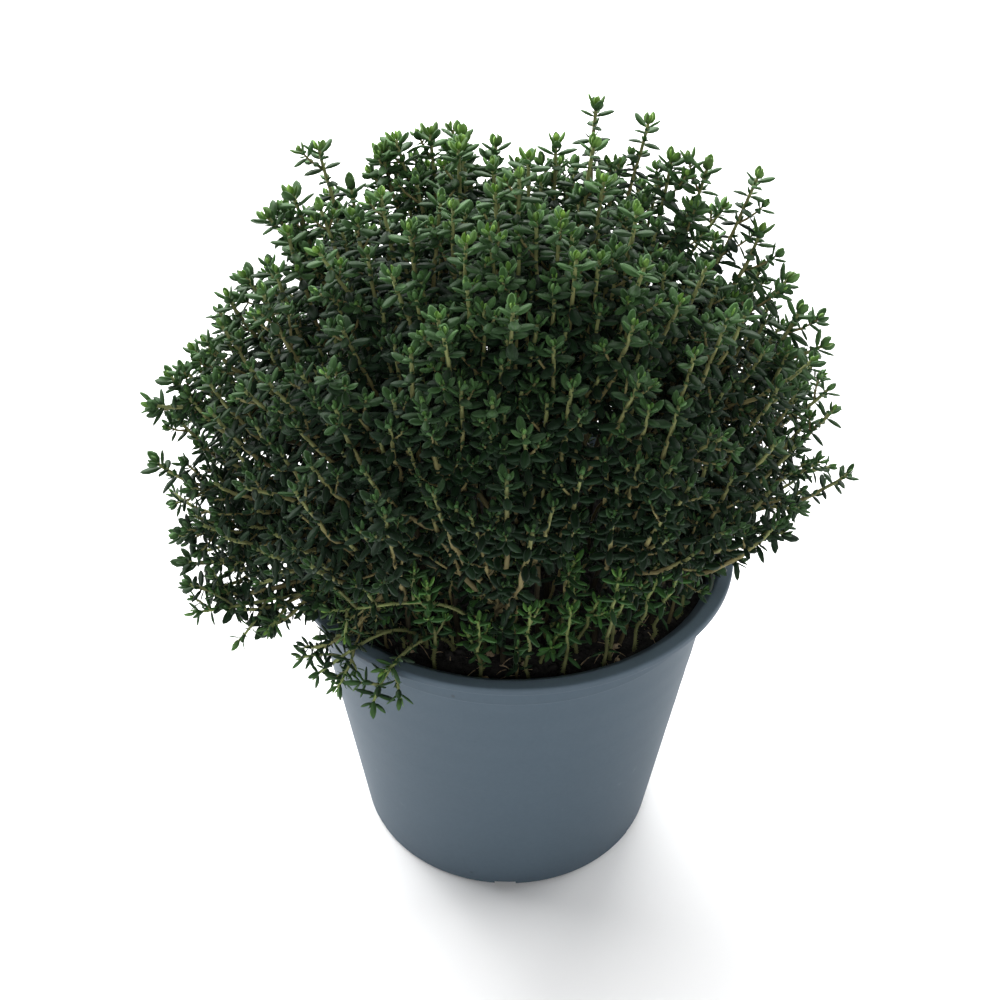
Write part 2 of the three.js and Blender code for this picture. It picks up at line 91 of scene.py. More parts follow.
DOME_BASE = POT_HEIGHT + 21
DOME_HEIGHT = 103.0
LOWEST_LEAN = 100.0
FRONT_LEAN_LOSS = 22.0
REACH_SPREAD = 0.12
MEAN_SPREAD = 92.0
LEFT_EXTRA = 3.5
BACK_EXTRA = 13.0
SIDES_EXTRA = 9.0

OUTSTANDING_TIPS = [
    (55, 39, 129), (40, 48, 124), (25, 60, 114), (17, 71, 111), (8, 80, 86), (-2, 93, 62),
    (-11, 101, 39), (-15, 88, 18), (110, 36, 120), (138, 46, 119), (156, 61, 117), (163, 72, 102),
    (176, 86, 80), (-174, 101, 62), (-169, 106, 48), (-162, 103, 21), (-156, 100, 8),
]
YOUNG_SPREAD = 0.12
YOUNG_SHOOTS = [(-62, 58, 36), (-74, 57, 26), (-85, 58.5, 29), (-98, 58, 24), (-111, 58, 34)]

# ---- fine growth

STEM_SEED = 900
YOUNG_SEED = 1000
SPRIG_SEED = 1100
PEAT_SEED = 1200
CROWN_SEED = 1400

# Where the added shoots end and fork. How far tips lean in front is given by azimuth.
CROWN_COUNT = 440
CROWN_TURN_SPREAD = 5.0
CROWN_CLEARANCE = 6.8
CROWN_REACH = (0.8, 1.01)
FINE_FORKS = [0.44 + 0.05 * k for k in range(5)]
CROWDING = 1.5
LOWEST_TIPS = [(-135, 96), (-124, 75), (-112, 68), (-90, 71), (-60, 76), (-45, 77), (-20, 80), (10, 90)]

# Stems: radii at foot and tip, their lines, and how far down from the tip their leaves go.
STEM_RADII = (0.95, 0.5)
SHOOT_RADII = (0.85, 0.5)
TWIG_RADII = (0.4, 0.32)
YOUNG_RADII = (0.62, 0.42)
SPRIG_RADII = (0.6, 0.4)
BRANCH_RADII = (0.48, 0.38)
TUFT_REACH = 2.4
MAIN_LIFT = 0.7
SHOOT_LIFTS = [0.85, 0.5, 0.2, 0.0]
SHOOT_NECK = 0.42
SHOOT_KNEE = 0.3
SHOOT_ASIDE = 0.1
PATH_POINTS = 65
STRAIGHTEST = 0.02
WAY_STEP = 0.012
MAIN_LEAFY = 56.0
SHOOT_LEAFY = 41.0
BARE_FOOT = 1.5

# Leaves, by their pair's number or distance from the tip.
FULL_LEAF = 5.3
NODE_GAPS = [0.5, 0.9, 1.6, 2.8, 3.8, 4.2]
TIP_LENGTHS = [0.46, 0.72, 0.9, 0.98, 1.0]
TIP_LEANS = [12, 31, 47, 58, 66, 72, 78, 83]
TIP_DROOPS = [-0.1, 0.0, 0.13, 0.25, 0.34]
TWIST = 90.0
TWIST_SPREAD = 10.0
TURN_SPREAD = 14.0
LEAN_SPREAD = 16.0
OLD_LEAN = 6.0
DROOP_SPREAD = 0.18
OLD_DROOP = 0.1
DROOP_LOSS = 0.35
SWAY_SPREAD = 0.14
RATIO_SPREAD = 0.08
AXIL_SPREAD = 100.0
FULL_BUNDLES = 26.0
FINE_LEAVES = 27.0
OLD_DISTANCE = 55.0
AGE_PER_NODE = 0.06
MISSING_FROM_NODE = 7
MISSING_SHARE = 0.12
BUNDLES_FROM_NODE = 3
TWIGS_FROM_NODE = 4
FACE_LIFT = 0.3

# How leaves narrow and shrink from the plant's top down, and painted shade that darkens them from the top
# down, inwards and most at the front.
LEAF_RATIOS = (0.34, 0.53)
LEAF_SCALES = (0.9, 1.02)
RATIO_HEIGHT = 95.0
# Painted shade on leaves: its cap, its share at the sides and back, the height where it ends, and its part by
# depth inside the dome.
MOST_SHADE = 0.9
SHADE_ASIDE = 0.3
SHADE_HEIGHT = 118.0
DEPTH_SHADE = 0.5
DEEPEST_REACH = 0.82

HAIRS_PER_LENGTH = 5.0
HAIR_LENGTH = 0.5
HAIR_RADIUS = 0.07

# Tips of the plant's outline: [x, y, height above the rim]. Each takes the place of the layout's
# nearest tip within reach, or is one more. The lone ones stand out and are thin.
OUTLINE_REACH = 12.0
OUTLINE_TIPS = [
    (-103, -21, 41), (-105, -14, 55), (-99, -8, 62), (-93, -1, 67), (-83, 8, 80), (-78, 10, 85),
    (-72, 18, 100), (-64, 21, 106), (-35, 30, 119), (-39, 29, 116), (-25, 32, 120), (-16, 33, 120),
    (-6, 33, 117), (11, 33, 118), (44, 28, 115), (54, 25, 114), (70, 18, 98), (79, 11, 86),
    (90, 1, 70), (82, -22, 20), (67, -21, 12), (-98, -31, 21), (-95, -37, 9), (-82, -43, 4),
    (-72, -47, -1), (-47, 22, 108), (82, 6, 79), (-57, -48, 7), (-98, -27, 9),
]
LONE_TIPS = [(-56, 25, 118), (22, 32, 129), (37, 30, 125), (68, 21, 113), (93, -7, 54), (98, -18, 39)]
# Low tips that the layout lacks, most of them at the left, where the plant is fullest.
LOW_TIPS = [
    (-88, -36, 16), (-78, -45, 6), (-91, -27, -3), (-70, -51, 4), (-60, -55, 1),
    (-71, -51, 20), (-81, -42, 30), (-90, -32, 27), (-65, -55, 28), (-52, -59, 36), (-44, -58, 44),
    (-96, -18, 20), (-84, -30, 8), (78, -28, 28), (70, -36, 32), (60, -46, 34), (50, -54, 37),
    (84, -10, 34), (-54, -53, 3), (-61, -47, 5), (-50, -57, 12),
    # Inside the bush, where one could see through it.
    (31, 50, 13), (30, 60, 5), (63, 48, 8), (70, 33, 20), (-33, 50, 14), (-37, 60, 6), (54, 30, 12),
]


def seeded(seed):
    """The same draws as the solids' layout makes."""
    state = seed & WORD

    def draw():
        nonlocal state
        state = (state + DRAW_STEP) & WORD
        mixed = ((state ^ (state >> 15)) * (1 | state)) & WORD
        mixed = ((mixed + (((mixed ^ (mixed >> 7)) * (61 | mixed)) & WORD)) & WORD) ^ mixed
        return ((mixed ^ (mixed >> 14)) & WORD) / (WORD + 1)

    return draw


def polar(azimuth, distance, height):
    angle = radians(azimuth)
    return np.array([distance * cos(angle), distance * sin(angle), height])


def unit(v):
    return v / max(1e-9, sqrt(float(v @ v)))


def jitter(draw, size):
    """A draw spread evenly about nought, over a size in all."""
    return size * (draw() - 0.5)


def any_turn(draw):
    return tau * draw()


def blend(pair, share):
    return pair[0] + (pair[1] - pair[0]) * share


def cross(a, b):
    return np.array([a[1] * b[2] - a[2] * b[1], a[2] * b[0] - a[0] * b[2], a[0] * b[1] - a[1] * b[0]])


def srgb(*levels):
    """A colour given as levels from 10 to 255, as the shaders take it."""
    return tuple(((v / 255 + 0.055) / 1.055) ** 2.4 for v in levels) + (1.0,)


def grey(level):
    return (level, level, level, 1.0)


# ---- layout, as in the solids

def soil_height(x, y):
    broad = np.sin(x / 9 + 1) * np.cos(y / 7)
    small = np.sin(x / 3.7 + y / 5.1) * np.cos(x / 6.3 - y / 3.1 + 2)
    return SOIL_TOP + LUMP_HEIGHT * (0.6 * broad + 0.5 * small)


def inner_wall_radius(height):
    share = (height - FLOOR_TOP) / (POT_HEIGHT - LIP_DEPTH - FLOOR_TOP)
    return blend((BASE_RADIUS, NECK_RADIUS), share) - WALL


def dome_spread(azimuth):
    angle = radians(azimuth)
    lopsided = BACK_EXTRA * sin(angle) - LEFT_EXTRA * cos(angle)
    return MEAN_SPREAD + lopsided + SIDES_EXTRA * cos(2 * angle)


def lowest_lean(azimuth):
    return LOWEST_LEAN - FRONT_LEAN_LOSS * max(0.0, -sin(radians(azimuth))) ** 2


def dome_point(lean, azimuth, reach):
    angle = radians(lean)
    distance = reach * dome_spread(azimuth) * sin(angle)
    return polar(azimuth, distance, DOME_BASE + reach * DOME_HEIGHT * cos(angle))


def plan_stems():
    draw = seeded(LAYOUT_SEED)
    stems = []
    for i in range(STEM_COUNT):
        share = (i + 0.5) / STEM_COUNT
        azimuth = i * GOLDEN_ANGLE + jitter(draw, ROOT_TURN_SPREAD)
        root = polar(azimuth, ROOT_SPREAD * sqrt(share), SOIL_TOP - STEM_DEPTH)
        lowest = radians(lowest_lean(azimuth))
        lean = degrees(acos(1 - (1 - cos(lowest)) * share))
        turn_start = 360 * draw()
        sideways = max(STEEPEST_FAN, sin(radians(lean)))
        tips = []
        for k in range(SHOOTS_PER_STEM):
            turn = radians(turn_start + 360 * k / SHOOTS_PER_STEM)
            tip_azimuth = azimuth + FAN_ANGLE * sin(turn) / sideways
            reach = 1 + jitter(draw, REACH_SPREAD)
            tips.append(dome_point(lean + FAN_ANGLE * cos(turn), tip_azimuth, reach))
        stems.append({"root": root, "tips": tips})
    taken = set()
    for azimuth, distance, height in OUTSTANDING_TIPS:
        wanted = polar(azimuth, distance, POT_HEIGHT + height)
        free = [(i, k) for i in range(STEM_COUNT) for k in range(SHOOTS_PER_STEM) if (i, k) not in taken]
        i, k = min(free, key=lambda ik: norm(stems[ik[0]]["tips"][ik[1]] - wanted))
        stems[i]["tips"][k] = wanted
        taken.add((i, k))
    return stems


class Path:
    """A smooth line bent by control points, read by shares of its length."""

    def __init__(self, *controls):
        t = np.linspace(0, 1, PATH_POINTS)[:, None]
        level = [np.asarray(c, float)[None, :] for c in controls]
        while len(level) > 1:
            level = [a * (1 - t) + b * t for a, b in zip(level, level[1:])]
        self.points = level[0]
        self.measure()

    def measure(self):
        steps = norm(np.diff(self.points, axis=0), axis=1)
        self.marks = np.concatenate([[0.0], np.cumsum(steps)])
        self.length = float(self.marks[-1])
        start, end = self.points[1] - self.points[0], self.points[-1] - self.points[-2]
        side = cross(start, end)
        if norm(side) < STRAIGHTEST * norm(start) * norm(end):
            side = cross(start, np.array([0.6, 0.8, 0.0]))
        self.side = unit(side)

    def at(self, share):
        mark = min(1.0, max(0.0, share)) * self.length
        return np.array([np.interp(mark, self.marks, self.points[:, k]) for k in range(3)])

    def way(self, share):
        return unit(self.at(min(1.0, share + WAY_STEP)) - self.at(max(0.0, share - WAY_STEP)))

    def frame(self, share):
        """The point at a share, the way on, and two directions square to that."""
        axis = self.way(share)
        u = unit(self.side - axis * (self.side @ axis))
        return self.at(share), axis, u, cross(axis, u)

    def shorten(self, length):
        shares = np.linspace(0, 1 - min(0.5, length / self.length), len(self.points))
        self.points = np.array([self.at(share) for share in shares])
        self.measure()
        return self

    def is_free(self, start, margin):
        """Whether the line is clear of pot and peat, from one of its points on."""
        return not blocked(self.points[start:], margin).any()

    def wobble(self, draw, size):
        """Small bends, as real stems have. Both ends stay where they are."""
        shares = self.marks / self.length
        other = cross(self.way(0.5), self.side)
        for axis in (self.side, other):
            waves, phase = 1.5 + 3 * draw(), any_turn(draw)
            sway = size * np.sin(pi * shares) * np.sin(tau * waves * shares + phase)
            self.points = self.points + sway[:, None] * axis[None, :]
        self.measure()
        return self


def main_path(root, tip, lift=TIP_LIFT):
    spread = hypot(tip[0] - root[0], tip[1] - root[1])
    knee = root + UP * (RISE_PER_HEIGHT * (tip[2] - root[2]) + RISE_PER_SPREAD * spread)
    chord = tip - knee
    neck_length = NECK_SHARE * norm(chord)
    return Path(root, knee, tip - neck_length * unit(unit(chord) + lift * UP), tip)


def departure(main, share, tip):
    """Where a shoot starts, the line to its tip, and the way it leaves the main stem."""
    start, axis = main.at(share), main.way(share)
    chord = tip - start
    return start, chord, unit(chord - axis * (chord @ axis))


def shoot_path(main, share, tip):
    """A shoot that turns up to its tip, as far as the pot leaves room."""
    start, chord, way = departure(main, share, tip)
    length = norm(chord)
    for lift in SHOOT_LIFTS:
        neck = tip - SHOOT_NECK * length * unit(unit(chord) + lift * UP)
        path = Path(start, start + SHOOT_KNEE * (neck - start) + SHOOT_ASIDE * length * way, neck, tip)
        if path.is_free(8, 1.0):
            break
    return path


def branch_path(main, share, tip):
    start, chord, way = departure(main, share, tip)
    bend = start + BRANCH_BEND_ALONG * chord + BRANCH_BEND_ASIDE * norm(chord) * way
    return Path(start, bend, tip)


# ---- meshes

# The first value holds how old a part is, and painted shade on the bush's leaves as well.
VALUES = ("tone", "age", "rib", "under")
STEM, LEAF = 0, 1


def new_object(name, data):
    obj = bpy.data.objects.new(name, data)
    bpy.context.scene.collection.objects.link(obj)
    return obj


def plain_object(name, points, faces):
    mesh = bpy.data.meshes.new(name)
    mesh.from_pydata(points, [], faces)
    return new_object(name, mesh)


class Build:
    """Collects one piece's points, faces and the values its materials read."""

    def __init__(self):
        self.points, self.faces, self.kinds, self.values, self.count = [], [], [], [], 0
        self.leaves = {False: [], True: []}

    def add(self, points, faces, kind, **values):
        n = len(points)
        self.points.append(points)
        for group in faces:
            group = np.asarray(group, np.int64)
            self.faces.append(group + self.count)
            self.kinds.append(np.full(len(group), kind))
        self.values.append({k: np.broadcast_to(np.asarray(values.get(k, 0.0), float), (n,)) for k in VALUES})
        self.count += n

    def leaf(self, foot, along, upper, length, width, droop, sway, age, tone, small=False):
        self.leaves[small].append((*foot, *along, *upper, length, width, droop, sway, age, tone))

    def to_object(self, name, materials):
        mesh = bpy.data.meshes.new(name)
        points = np.concatenate(self.points) * MM
        mesh.vertices.add(len(points))
        mesh.vertices.foreach_set("co", points.astype(np.float32).ravel())
        sizes = np.concatenate([np.full(len(f), f.shape[1]) for f in self.faces])
        corners = np.concatenate([f.ravel() for f in self.faces])
        mesh.loops.add(len(corners))
        mesh.loops.foreach_set("vertex_index", corners.astype(np.int32))
        mesh.polygons.add(len(sizes))
        starts = np.concatenate([[0], np.cumsum(sizes)[:-1]])
        mesh.polygons.foreach_set("loop_start", starts.astype(np.int32))
        mesh.polygons.foreach_set("material_index", np.concatenate(self.kinds).astype(np.int32))
        mesh.update(calc_edges=True)
        for material in materials:
            mesh.materials.append(material)
        for key in VALUES:
            data = np.concatenate([v[key] for v in self.values]).astype(np.float32)
            if data.any():
                mesh.attributes.new(key, "FLOAT", "POINT").data.foreach_set("value", data)
        mesh.shade_smooth()
        return new_object(name, mesh)


def ring_points(radius, height, angles):
    heights = np.broadcast_to(height, angles.shape)
    return np.stack([radius * np.cos(angles), radius * np.sin(angles), heights], axis=1)


def ring_quads(sides, rows, first=0):
    """The faces between rows of points, each row a ring with a point for each side."""
    ring = np.arange(sides)
    after = (ring + 1) % sides
    low = first + sides * np.arange(rows - 1)[:, None]
    return np.stack([low + ring, low + after, low + sides + after, low + sides + ring], axis=2).reshape(-1, 4)


def leaf_shape(stations, widths, ring):
    """A leaf's mesh: across and up in half widths, along in lengths."""
    points, rib, under = [], [], []
    for t, w in zip(stations, widths):
        for x, z in ring:
            points.append((x * w, t, z * w))
            rib.append(abs(x))
            under.append(0.5 if z == LEAF_EDGE else 0.0)
    points.append((0.0, 1.0, -0.1))
    rib.append(0.5)
    under.append(0.0)
    n, rows = len(ring), len(stations)
    last = (rows - 1) * n
    tris = [(last + k, last + (k + 1) % n, rows * n) for k in range(n)]
    tris += [(0, k + 1, k) for k in range(1, n - 1)]
    return np.array(points), ring_quads(n, rows), np.array(tris), np.array(rib), np.array(under)


# A big leaf's edges are rolled under, and a small leaf is plainer. The last list is a section.
LEAF_EDGE = -0.5
BIG_LEAF = leaf_shape(
    (0.0, 0.25, 0.58, 0.86), (0.22, 0.84, 1.0, 0.62),
    ((-1, LEAF_EDGE), (-0.52, 0.08), (0, -0.14), (0.52, 0.08), (1, LEAF_EDGE)))
SMALL_LEAF = leaf_shape((0.0, 0.34, 0.72), (0.3, 1.0, 0.66), ((-1, 0), (1, 0), (0, -0.35)))


def outer_radius(z):
    share = np.clip(z / (POT_HEIGHT - COLLAR_DEPTH), 0, 1)
    wall = blend((BASE_RADIUS, NECK_RADIUS), share)
    return np.where(z > POT_HEIGHT - LIP_DEPTH - 0.6, RIM_RADIUS + 0.3, wall + 0.4)


def blocked(points, margin=0.15):
    """Which points lie in the pot's wall, in its lip or in the peat."""
    x, y, z = points[..., 0], points[..., 1], points[..., 2]
    r = np.hypot(x, y)
    low = z < POT_HEIGHT + margin
    inside = (r < inner_wall_radius(SOIL_TOP) - 0.2) & (z > soil_height(x, y) + margin)
    return low & (r < outer_radius(z) + margin) & ~inside


def place_leaves(build):
    """Makes the leaves of a piece, without those that would meet the pot or the peat."""
    for small, shape in ((False, BIG_LEAF), (True, SMALL_LEAF)):
        if not build.leaves[small]:
            continue
        data = np.array(build.leaves[small])
        template, quads, tris, rib, under = shape
        foot, along, upper = data[:, 0:3], data[:, 3:6], data[:, 6:9]
        along = along / norm(along, axis=1, keepdims=True)
        upper = upper - along * np.sum(upper * along, axis=1, keepdims=True)
        upper = upper / norm(upper, axis=1, keepdims=True)
        across = np.cross(along, upper)
        length, width, droop, sway, age, tone = (data[:, k, None] for k in range(9, 15))
        half = width / 2
        aside, ahead, above = template.T
        x = aside * half + sway * length * ahead ** 2
        y = ahead * length * (1 - DROOP_LOSS * droop ** 2)
        z = above * half - droop * length * ahead ** 2
        points = foot[:, None] + x[..., None] * across[:, None] + y[..., None] * along[:, None]
        points = points + z[..., None] * upper[:, None]
        keep = ~blocked(points[:, len(template) // 4:]).any(axis=1)
        points, age, tone = points[keep], age[keep], tone[keep]
        n, size = points.shape[:2]
        shift = (np.arange(n) * size)[:, None, None]
        faces = [(quads[None] + shift).reshape(-1, 4), (tris[None] + shift).reshape(-1, 3)]
        build.add(points.reshape(-1, 3), faces, LEAF, tone=np.repeat(tone, size), age=np.repeat(age, size),
                  rib=np.tile(rib, n), under=np.tile(under, n))


def tube(build, path, radii, ages, draw, kind=STEM, sides=6, step=4.0):
    """A round stem along a path, closed at both ends."""
    count = max(3, int(path.length / step) + 2)
    turn = np.arange(sides) * tau / sides
    points, age = [], []
    for i in range(count):
        share = i / (count - 1)
        centre, axis, u, v = path.frame(share)
        radius = blend(radii, share) * (0.93 + 0.14 * draw())
        points.append(centre + radius * (np.cos(turn)[:, None] * u + np.sin(turn)[:, None] * v))
        age.append(np.full(sides, blend(ages, share)))
    last = (count - 1) * sides
    foot, top = np.arange(sides)[None, ::-1], last + np.arange(sides)[None, :]
    faces = [ring_quads(sides, count), foot, top]
    build.add(np.concatenate(points), faces, kind, age=np.concatenate(age), tone=draw())


# ---- growth

def on_dome(tip):
    """A point's lean, azimuth and reach, which is 1 on the dome's surface."""
    azimuth = degrees(atan2(tip[1], tip[0]))
    outward = hypot(tip[0], tip[1]) / dome_spread(azimuth)
    upward = (tip[2] - DOME_BASE) / DOME_HEIGHT
    return degrees(atan2(outward, upward)), azimuth, hypot(outward, upward)


def lowest_tip(azimuth):
    """How far tips may lean in front, where the plant ends above the rim."""
    azimuths, leans = zip(*LOWEST_TIPS)
    turned = (azimuth + 180) % 360 - 180
    return np.interp(turned, azimuths, leans) if azimuths[0] < turned < azimuths[-1] else 180.0


def crowns(tips):
    """Tips spread evenly under the dome's surface, wherever there is none near."""
    draw = seeded(CROWN_SEED)
    found = []
    for i in range(CROWN_COUNT):
        azimuth = i * GOLDEN_ANGLE + jitter(draw, CROWN_TURN_SPREAD)
        lowest = radians(lowest_lean(azimuth))
        lean = degrees(acos(1 - (1 - cos(lowest)) * (i + 0.5) / CROWN_COUNT))
        tip = dome_point(lean, azimuth, blend(CROWN_REACH, draw()))
        if lean > lowest_tip(azimuth):
            continue
        if min(norm(other - tip) for other in tips) > CROWN_CLEARANCE:
            found.append(tip)
    return found


def above_rim(points):
    return [np.array([x, y, POT_HEIGHT + height], float) for x, y, height in points]


def all_tips(stems):
    """Every stem with its shoots: each one's fork, as a share of the main stem, its tip and kind.
    The first shoot is the main stem itself."""
    plans = []
    for stem in stems:
        forks = zip([None] + FORKS, stem["tips"])
        shoots = [{"fork": fork, "tip": tip, "kind": "crown"} for fork, tip in forks]
        plans.append({"root": stem["root"], "shoots": shoots})
    for plan in plans:
        for shoot in plan["shoots"]:
            lean, azimuth, reach = on_dome(shoot["tip"])
            if lean > lowest_tip(azimuth):
                shoot["tip"] = dome_point(lowest_tip(azimuth), azimuth, reach)
    extra = []
    free = [shoot for plan in plans for shoot in plan["shoots"]]
    for kind, tips in (("outline", OUTLINE_TIPS), ("lone", LONE_TIPS)):
        for wanted in above_rim(tips):
            nearest = min(free, key=lambda shoot: norm(shoot["tip"] - wanted))
            if norm(nearest["tip"] - wanted) < OUTLINE_REACH:
                nearest.update(tip=wanted, kind=kind)
                free = [shoot for shoot in free if shoot is not nearest]
            else:
                extra.append((kind, wanted))
    for plan in plans:
        plan["main"] = main_path(plan["root"], plan["shoots"][0]["tip"], MAIN_LIFT)
    extra += [("crown", tip) for tip in above_rim(LOW_TIPS)]
    tips = [shoot["tip"] for plan in plans for shoot in plan["shoots"]] + [tip for _, tip in extra]
    extra += [("crown", tip) for tip in crowns(tips)]
    for k, (kind, tip) in enumerate(extra):
        fork = FINE_FORKS[k % len(FINE_FORKS)]
        plan = min(plans, key=lambda plan: norm(plan["main"].at(fork) - tip)
                   + CROWDING * len(plan["shoots"]))
        plan["shoots"].append({"fork": fork, "tip": tip, "kind": kind})
    return plans


def hairs(build, path, radii, draw):
    ring = np.arange(3) * tau / 3
    points = []
    for _ in range(int(HAIRS_PER_LENGTH * path.length)):
        share, turn, reach = draw(), any_turn(draw), HAIR_LENGTH * (0.6 + 0.8 * draw())
        centre, axis, u, v = path.frame(share)
        out = cos(turn) * u + sin(turn) * v
        side = cross(axis, out)
        radius = blend(radii, share)
        tip = centre + (radius + reach) * out + jitter(draw, 0.3 * reach) * axis
        if not blocked(tip, margin=0.3):
            foot = centre + 0.75 * radius * out
            spokes = np.cos(ring)[:, None] * axis + np.sin(ring)[:, None] * side
            points += [foot + HAIR_RADIUS * spokes, tip[None, :]]
    first = 4 * np.arange(len(points) // 2)[:, None, None]
    faces = (np.array([(0, 1, 2), (1, 0, 3), (2, 1, 3), (0, 2, 3)])[None] + first).reshape(-1, 3)
    build.add(np.concatenate(points), [faces], STEM, age=0.05, tone=1.0)


def leaf_way(axis, out, lean):
    """The way along a leaf and the way its upper face looks, which is turned up a little."""
    angle = radians(lean)
    along = axis * cos(angle) + out * sin(angle)
    upper = axis * sin(angle) - out * cos(angle)
    return along, upper + FACE_LIFT * UP


def entry(values, index):
    """A list's entry, or its last where it has no more."""
    return values[min(index, len(values) - 1)]


def axil_leaves(build, spot, draw, turn, node, distance, style):
    """A bundle of small young leaves at the foot of a leaf."""
    centre, axis, u, v, radius = spot
    old = min(1.0, distance / OLD_DISTANCE)
    full = style["bundle"] * (0.5 + draw()) * (1 if distance < FULL_BUNDLES else 0.5)
    for _ in range(int(full + 0.5)):
        aside = turn + radians(jitter(draw, AXIL_SPREAD))
        away = cos(aside) * u + sin(aside) * v
        along, upper = leaf_way(axis, away, 22 + 42 * draw())
        length = style["scale"] * (1.7 + 2.2 * draw()) * (0.75 if node < 5 else 1)
        droop, sway = 0.25 * (draw() - 0.3), jitter(draw, 0.1)
        # These small leaves take half of the shoot's painted shade too.
        age = min(1.0, 0.6 * old + 0.12 + 0.5 * style["age"])
        build.leaf(centre + 0.5 * radius * away + 0.5 * axis, along, upper, length,
                   length * (style["ratio"] + 0.03), droop, sway, age, draw(), small=True)


def twig(build, spot, draw, out, node, old, style):
    centre, axis, _, _, radius = spot
    length = style["scale"] * (4 + 10 * draw() * min(1, node / 9))
    start = centre + 0.4 * radius * out
    leave = unit(0.75 * axis + 0.8 * out)
    bend = start + 0.5 * length * leave
    path = Path(start, bend, bend + 0.5 * length * unit(leave + 0.7 * axis + 0.25 * UP))
    if path.is_free(10, 0.6):
        # A twig keeps its shoot's painted shade and darkens more lower down.
        finer = {"scale": 0.82 * style["scale"], "bundle": 0.6 * style["bundle"],
                 "age": min(0.8, style["age"] + 0.35 * old)}
        ages = (0.3 + 0.3 * old, 0.1)
        grow(build, path, draw, TWIG_RADII, ages, length * 0.9, {**style, **finer}, depth=1)


def grow(build, path, draw, radii, ages, leafy, style, depth=0):
    """A stem with leaf pairs down from its tip, each across the last, small leaves in their axils,
    and short twigs lower down."""
    sides, step = (6, 4.0) if depth == 0 else (5, 3.0)
    tube(build, path, radii, ages, draw, sides=sides, step=step)
    first_turn = 360 * draw()
    twist = TWIST + jitter(draw, TWIST_SPREAD)
    distance, node = 0.0, 0
    while distance < leafy and distance < path.length - BARE_FOOT:
        share = 1 - distance / path.length
        radius = blend(radii[::-1], 1 - share)
        spot = (*path.frame(share), radius)
        centre, axis, u, v, _ = spot
        old = min(1.0, distance / OLD_DISTANCE)
        for half in (0, 1):
            if node > MISSING_FROM_NODE and draw() < MISSING_SHARE:
                continue
            turn = radians(first_turn + twist * node + 180 * half + jitter(draw, TURN_SPREAD))
            out = cos(turn) * u + sin(turn) * v
            lean = entry(TIP_LEANS, node) + jitter(draw, LEAN_SPREAD) + OLD_LEAN * old
            along, upper = leaf_way(axis, out, lean)
            length = style["scale"] * FULL_LEAF * entry(TIP_LENGTHS, node) * (0.82 + 0.34 * draw())
            width = length * (style["ratio"] + jitter(draw, RATIO_SPREAD)) * (1.1 if node < 2 else 1)
            droop = entry(TIP_DROOPS, node) + OLD_DROOP * old + jitter(draw, DROOP_SPREAD)
            sway = jitter(draw, SWAY_SPREAD)
            # A leaf's darkening value mixes how old it is with the shoot's painted shade from style_of.
            age = style["age"] * min(1, (node + 1.4) / 4)
            age += (1 - style["age"]) * min(1.0, AGE_PER_NODE * node + old)
            build.leaf(centre + 0.5 * radius * out, along, upper, length, width, droop, sway, age, draw(),
                       small=distance > FINE_LEAVES)
            if node < BUNDLES_FROM_NODE:
                continue
            axil_leaves(build, spot, draw, turn, node, distance, style)
            if depth == 0 and node >= TWIGS_FROM_NODE and draw() < style["twigs"]:
                twig(build, spot, draw, out, node, old, style)
        if node < len(NODE_GAPS):
            distance += NODE_GAPS[node] * style["scale"]
        else:
            distance += style["spacing"] * (0.8 + 0.4 * draw())
        node += 1


# Growth: leaf size, distance of the pairs, leaves in an axil, share of leaves with a twig, darkening
# to add as for age (style_of puts painted shade here for the bush), and a leaf's width by its length.
BUSH = {"scale": 1.0, "spacing": 4.3, "bundle": 1.9, "twigs": 0.16, "age": 0.0, "ratio": 0.4}
YOUNG = {"scale": 0.95, "spacing": 6.2, "bundle": 1.3, "twigs": 0.08, "age": 0.0, "ratio": 0.36}
SPRIG = {"scale": 0.95, "spacing": 5.6, "bundle": 2.2, "twigs": 0.12, "age": 0.1, "ratio": 0.34}


def share_between(value, low, high):
    return min(1.0, max(0.0, (value - low) / (high - low)))


def style_of(shoot):
    """Low shoots have narrower leaves. Painted shade darkens low, deep and front ones, in the value that
    darkens older leaves.
    """
    tip = shoot["tip"]
    height = tip[2] - POT_HEIGHT
    risen = share_between(height, 0, RATIO_HEIGHT)
    ratio, scale = blend(LEAF_RATIOS, risen), blend(LEAF_SCALES, risen)
    # Painted shade: full for front shoots, a share of it at the sides and back, fading with height, and more
    # for deep tips.
    frontal = share_between(-tip[1], 0, 0.8 * hypot(tip[0], tip[1]) + 1)
    facing = SHADE_ASIDE + (1 - SHADE_ASIDE) * frontal
    shade = facing * share_between(height, SHADE_HEIGHT, 0)
    shade += DEPTH_SHADE * share_between(on_dome(tip)[2], 1.0, DEEPEST_REACH)
    style = {**BUSH, "ratio": ratio, "scale": scale, "age": min(MOST_SHADE, shade)}
    if shoot["kind"] == "outline":
        style |= {"scale": 1.2, "bundle": 3.4, "twigs": 0.3, "ratio": max(ratio, 0.5)}
    if shoot["kind"] == "lone":
        style |= {"bundle": 1.4, "twigs": 0.06}
    return style


# ---- materials

def material(name):
    made = bpy.data.materials.new(name)
    made.use_nodes = True
    tree = made.node_tree
    where = node(tree, "TexCoord").outputs["Object"]
    return made, tree, tree.nodes["Principled BSDF"], where


def join(tree, value, socket):
    """Links a socket to another, or sets the other where this is a plain value."""
    if isinstance(value, bpy.types.NodeSocket):
        tree.links.new(value, socket)
    else:
        socket.default_value = value


def node(tree, kind, inputs=None, **settings):
    made = tree.nodes.new("ShaderNode" + kind)
    for key, value in settings.items():
        setattr(made, key, value)
    for key, value in (inputs or {}).items():
        join(tree, value, made.inputs[key])
    return made


